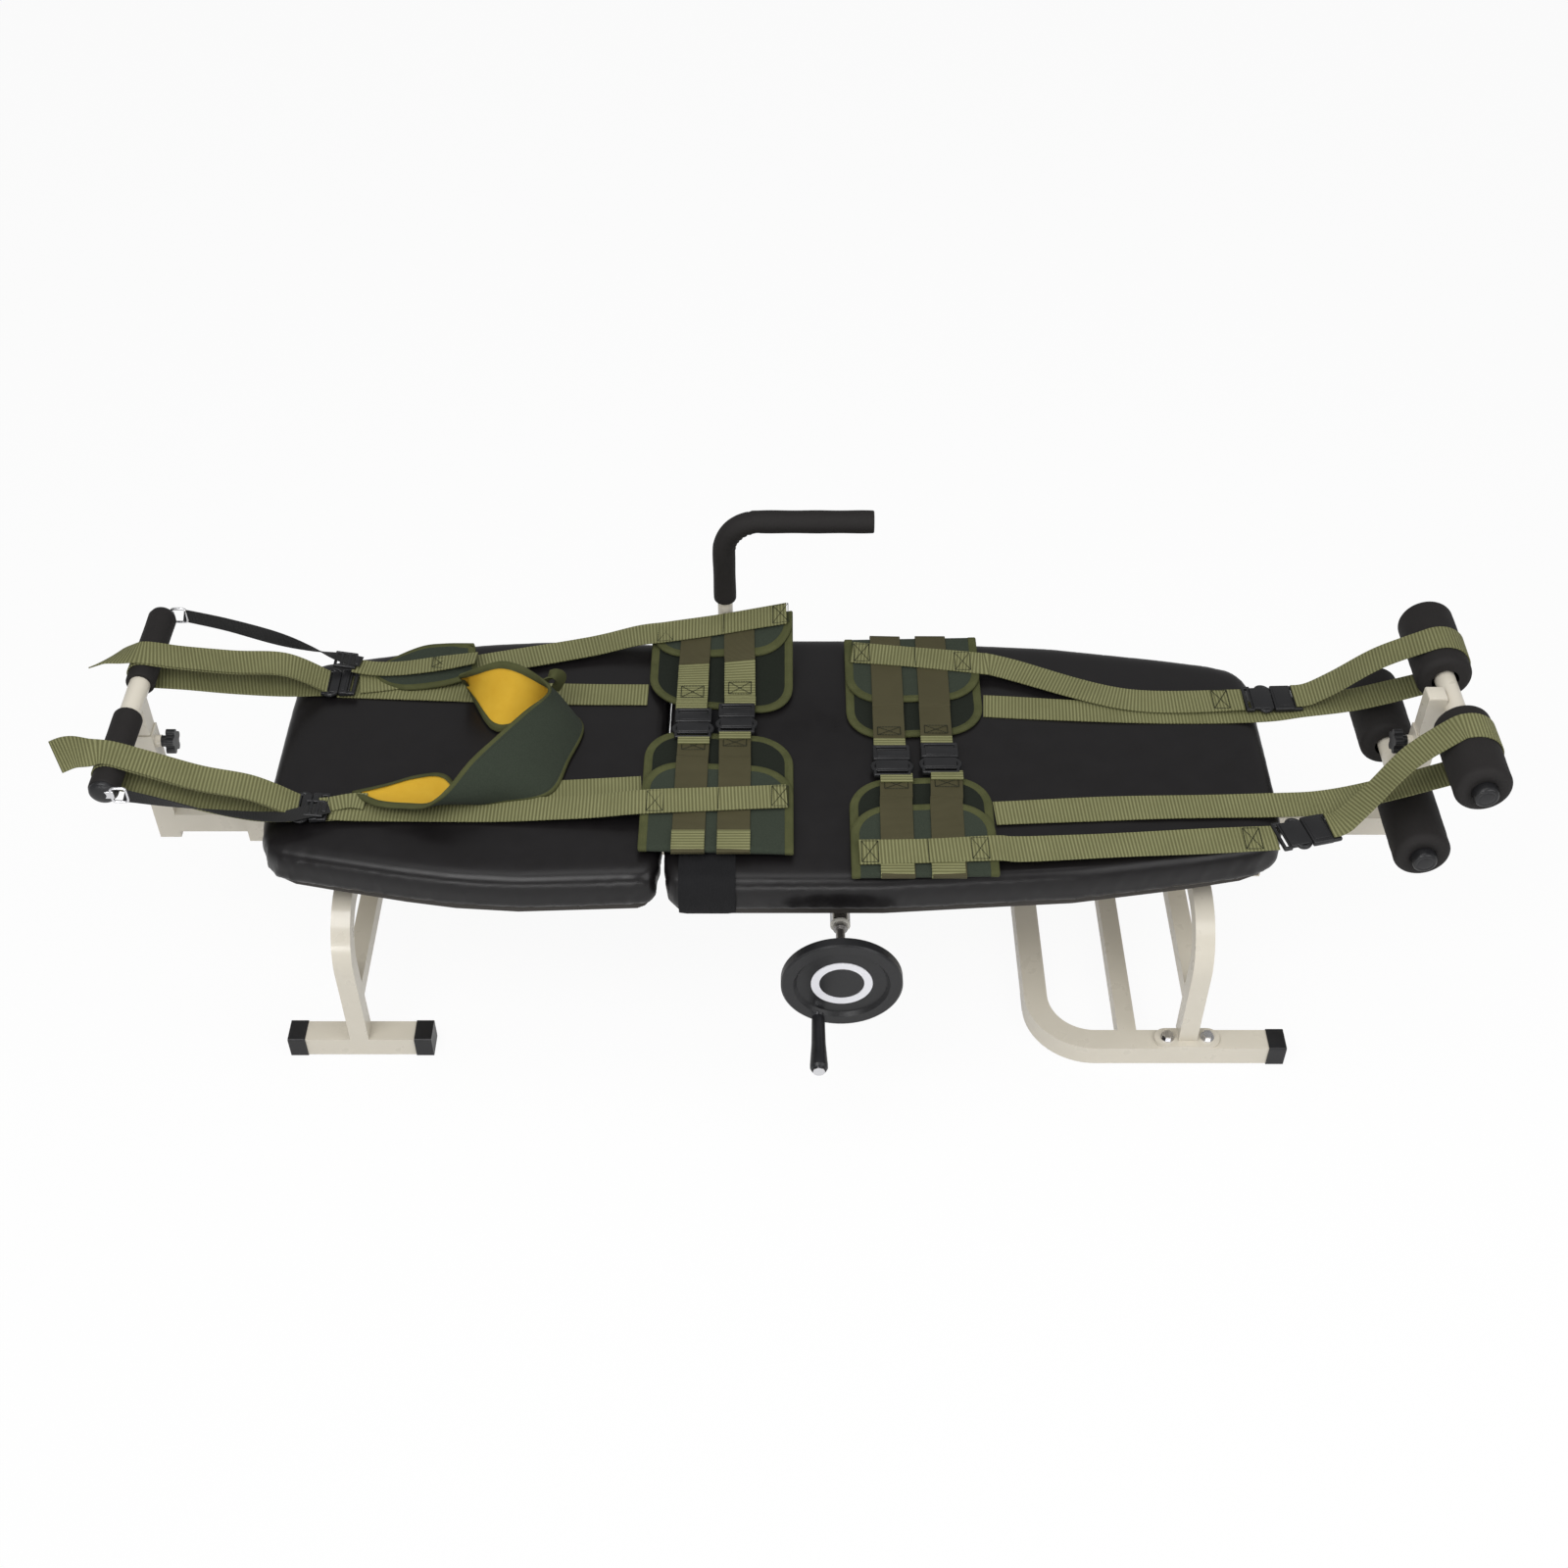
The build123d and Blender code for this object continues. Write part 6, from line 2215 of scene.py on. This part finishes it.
    def _ripple(self, share: float, phase: float) -> float:
        """Give a weld bead's radius at a share of its length."""
        return self.bead_radius * (0.86 + 0.16 * math.sin(share * self.bead_steps * 1.1 + phase))


@dataclass
class Studio:
    """The camera, the lamps and the white ground."""

    lamps: Sequence[tuple] = (
        ("Key", (-900.0, -1500.0, 2600.0), (0.0, 0.0, 350.0), (1.8, 1.4), 42.0, True),
        ("Fill", (1700.0, -1300.0, 1700.0), (300.0, 0.0, 300.0), (1.6, 1.6), 19.0, True),
        ("Top", (0.0, 100.0, 3000.0), (0.0, 0.0, 400.0), (2.6, 0.9), 15.0, True),
        ("Strip", (-500.0, -2700.0, 640.0), (0.0, 0.0, 380.0), (3.0, 0.34), 22.0, False),
    )
    lens: float = 45.9
    sensor: float = 36.0
    camera: Point = (0.0, -2284.0, 2595.8)
    camera_tilt: float = 45.5
    room_light: float = 0.4
    floor_reach: float = 9.0
    floor_grey: float = 0.86
    floor_glow: float = 0.22
    floor_glow_seen: float = 0.71

    def build(self) -> None:
        """Set up the shot."""
        bpy.context.scene.view_settings.view_transform = "Standard"
        self._camera()
        self._lamps()
        self._room()
        self._floor()

    def _camera(self) -> None:
        """Place the camera where the photo was taken from."""
        data = bpy.data.cameras.new("Camera")
        data.lens = self.lens
        data.sensor_width = self.sensor
        camera = add_object("Camera", data)
        camera.location = LAYOUT.place(self.camera)
        camera.rotation_euler = (math.radians(self.camera_tilt), 0.0, 0.0)
        bpy.context.scene.camera = camera

    def _lamps(self) -> None:
        """Hang soft lamps over the bed."""
        for name, place, aim, size, power, diffuse in self.lamps:
            data = bpy.data.lights.new(name, "AREA")
            data.shape = "RECTANGLE"
            data.size, data.size_y = size
            data.energy = power
            lamp = add_object(name, data)
            lamp.location = LAYOUT.place(place)
            lamp.visible_diffuse = diffuse
            lamp.rotation_euler = (LAYOUT.place(aim) - lamp.location).to_track_quat("-Z", "Y").to_euler()

    def _room(self) -> None:
        """Light the room evenly, and show it white."""
        world = bpy.data.worlds.new("Room")
        bpy.context.scene.world = world
        world.use_nodes = True
        tree = world.node_tree
        seen = add_node(tree, "LightPath").outputs["Is Camera Ray"]
        strength = add_node(tree, "MapRange", {"Value": seen, "To Min": self.room_light, "To Max": 1.0})
        white = {"Color": (1.0, 1.0, 1.0, 1.0), "Strength": strength.outputs["Result"]}
        feed(tree, tree.nodes["Background"], white)

    def _floor(self) -> None:
        """Lay a white floor that glows a little, most of all for the camera."""
        data = bpy.data.meshes.new("Floor")
        r = self.floor_reach
        data.from_pydata([(-r, -r, 0), (r, -r, 0), (r, r, 0), (-r, r, 0)], [], [(0, 1, 2, 3)])
        floor = add_object("Floor", data)
        material = bpy.data.materials.new("White ground")
        material.use_nodes = True
        tree = material.node_tree
        white = {"Base Color": (*[self.floor_grey] * 3, 1.0), "Roughness": 0.9}
        shader = feed(tree, tree.nodes["Principled BSDF"], white)
        glow = add_node(tree, "Emission", {"Strength": 1.0})
        seen = add_node(tree, "LightPath").outputs["Is Camera Ray"]
        share = {0: seen, 1: self.floor_glow_seen, 2: self.floor_glow}
        lit = add_node(tree, "Math", share, operation="MULTIPLY_ADD")
        parts = {"Fac": lit.outputs[0], 1: shader.outputs["BSDF"], 2: glow.outputs["Emission"]}
        mix = add_node(tree, "MixShader", parts)
        feed(tree, tree.nodes["Material Output"], {"Surface": mix.outputs["Shader"]})
        data.materials.append(material)


def main() -> None:
    """Build the whole scene."""
    logging.basicConfig(level=logging.INFO, format="%(name)s: %(message)s")
    for stale in list(bpy.data.objects):
        bpy.data.objects.remove(stale)
    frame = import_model()
    LAYOUT.fit()
    TractionBed().build(frame)
    Studio().build()


if __name__ == "__main__":
    main()
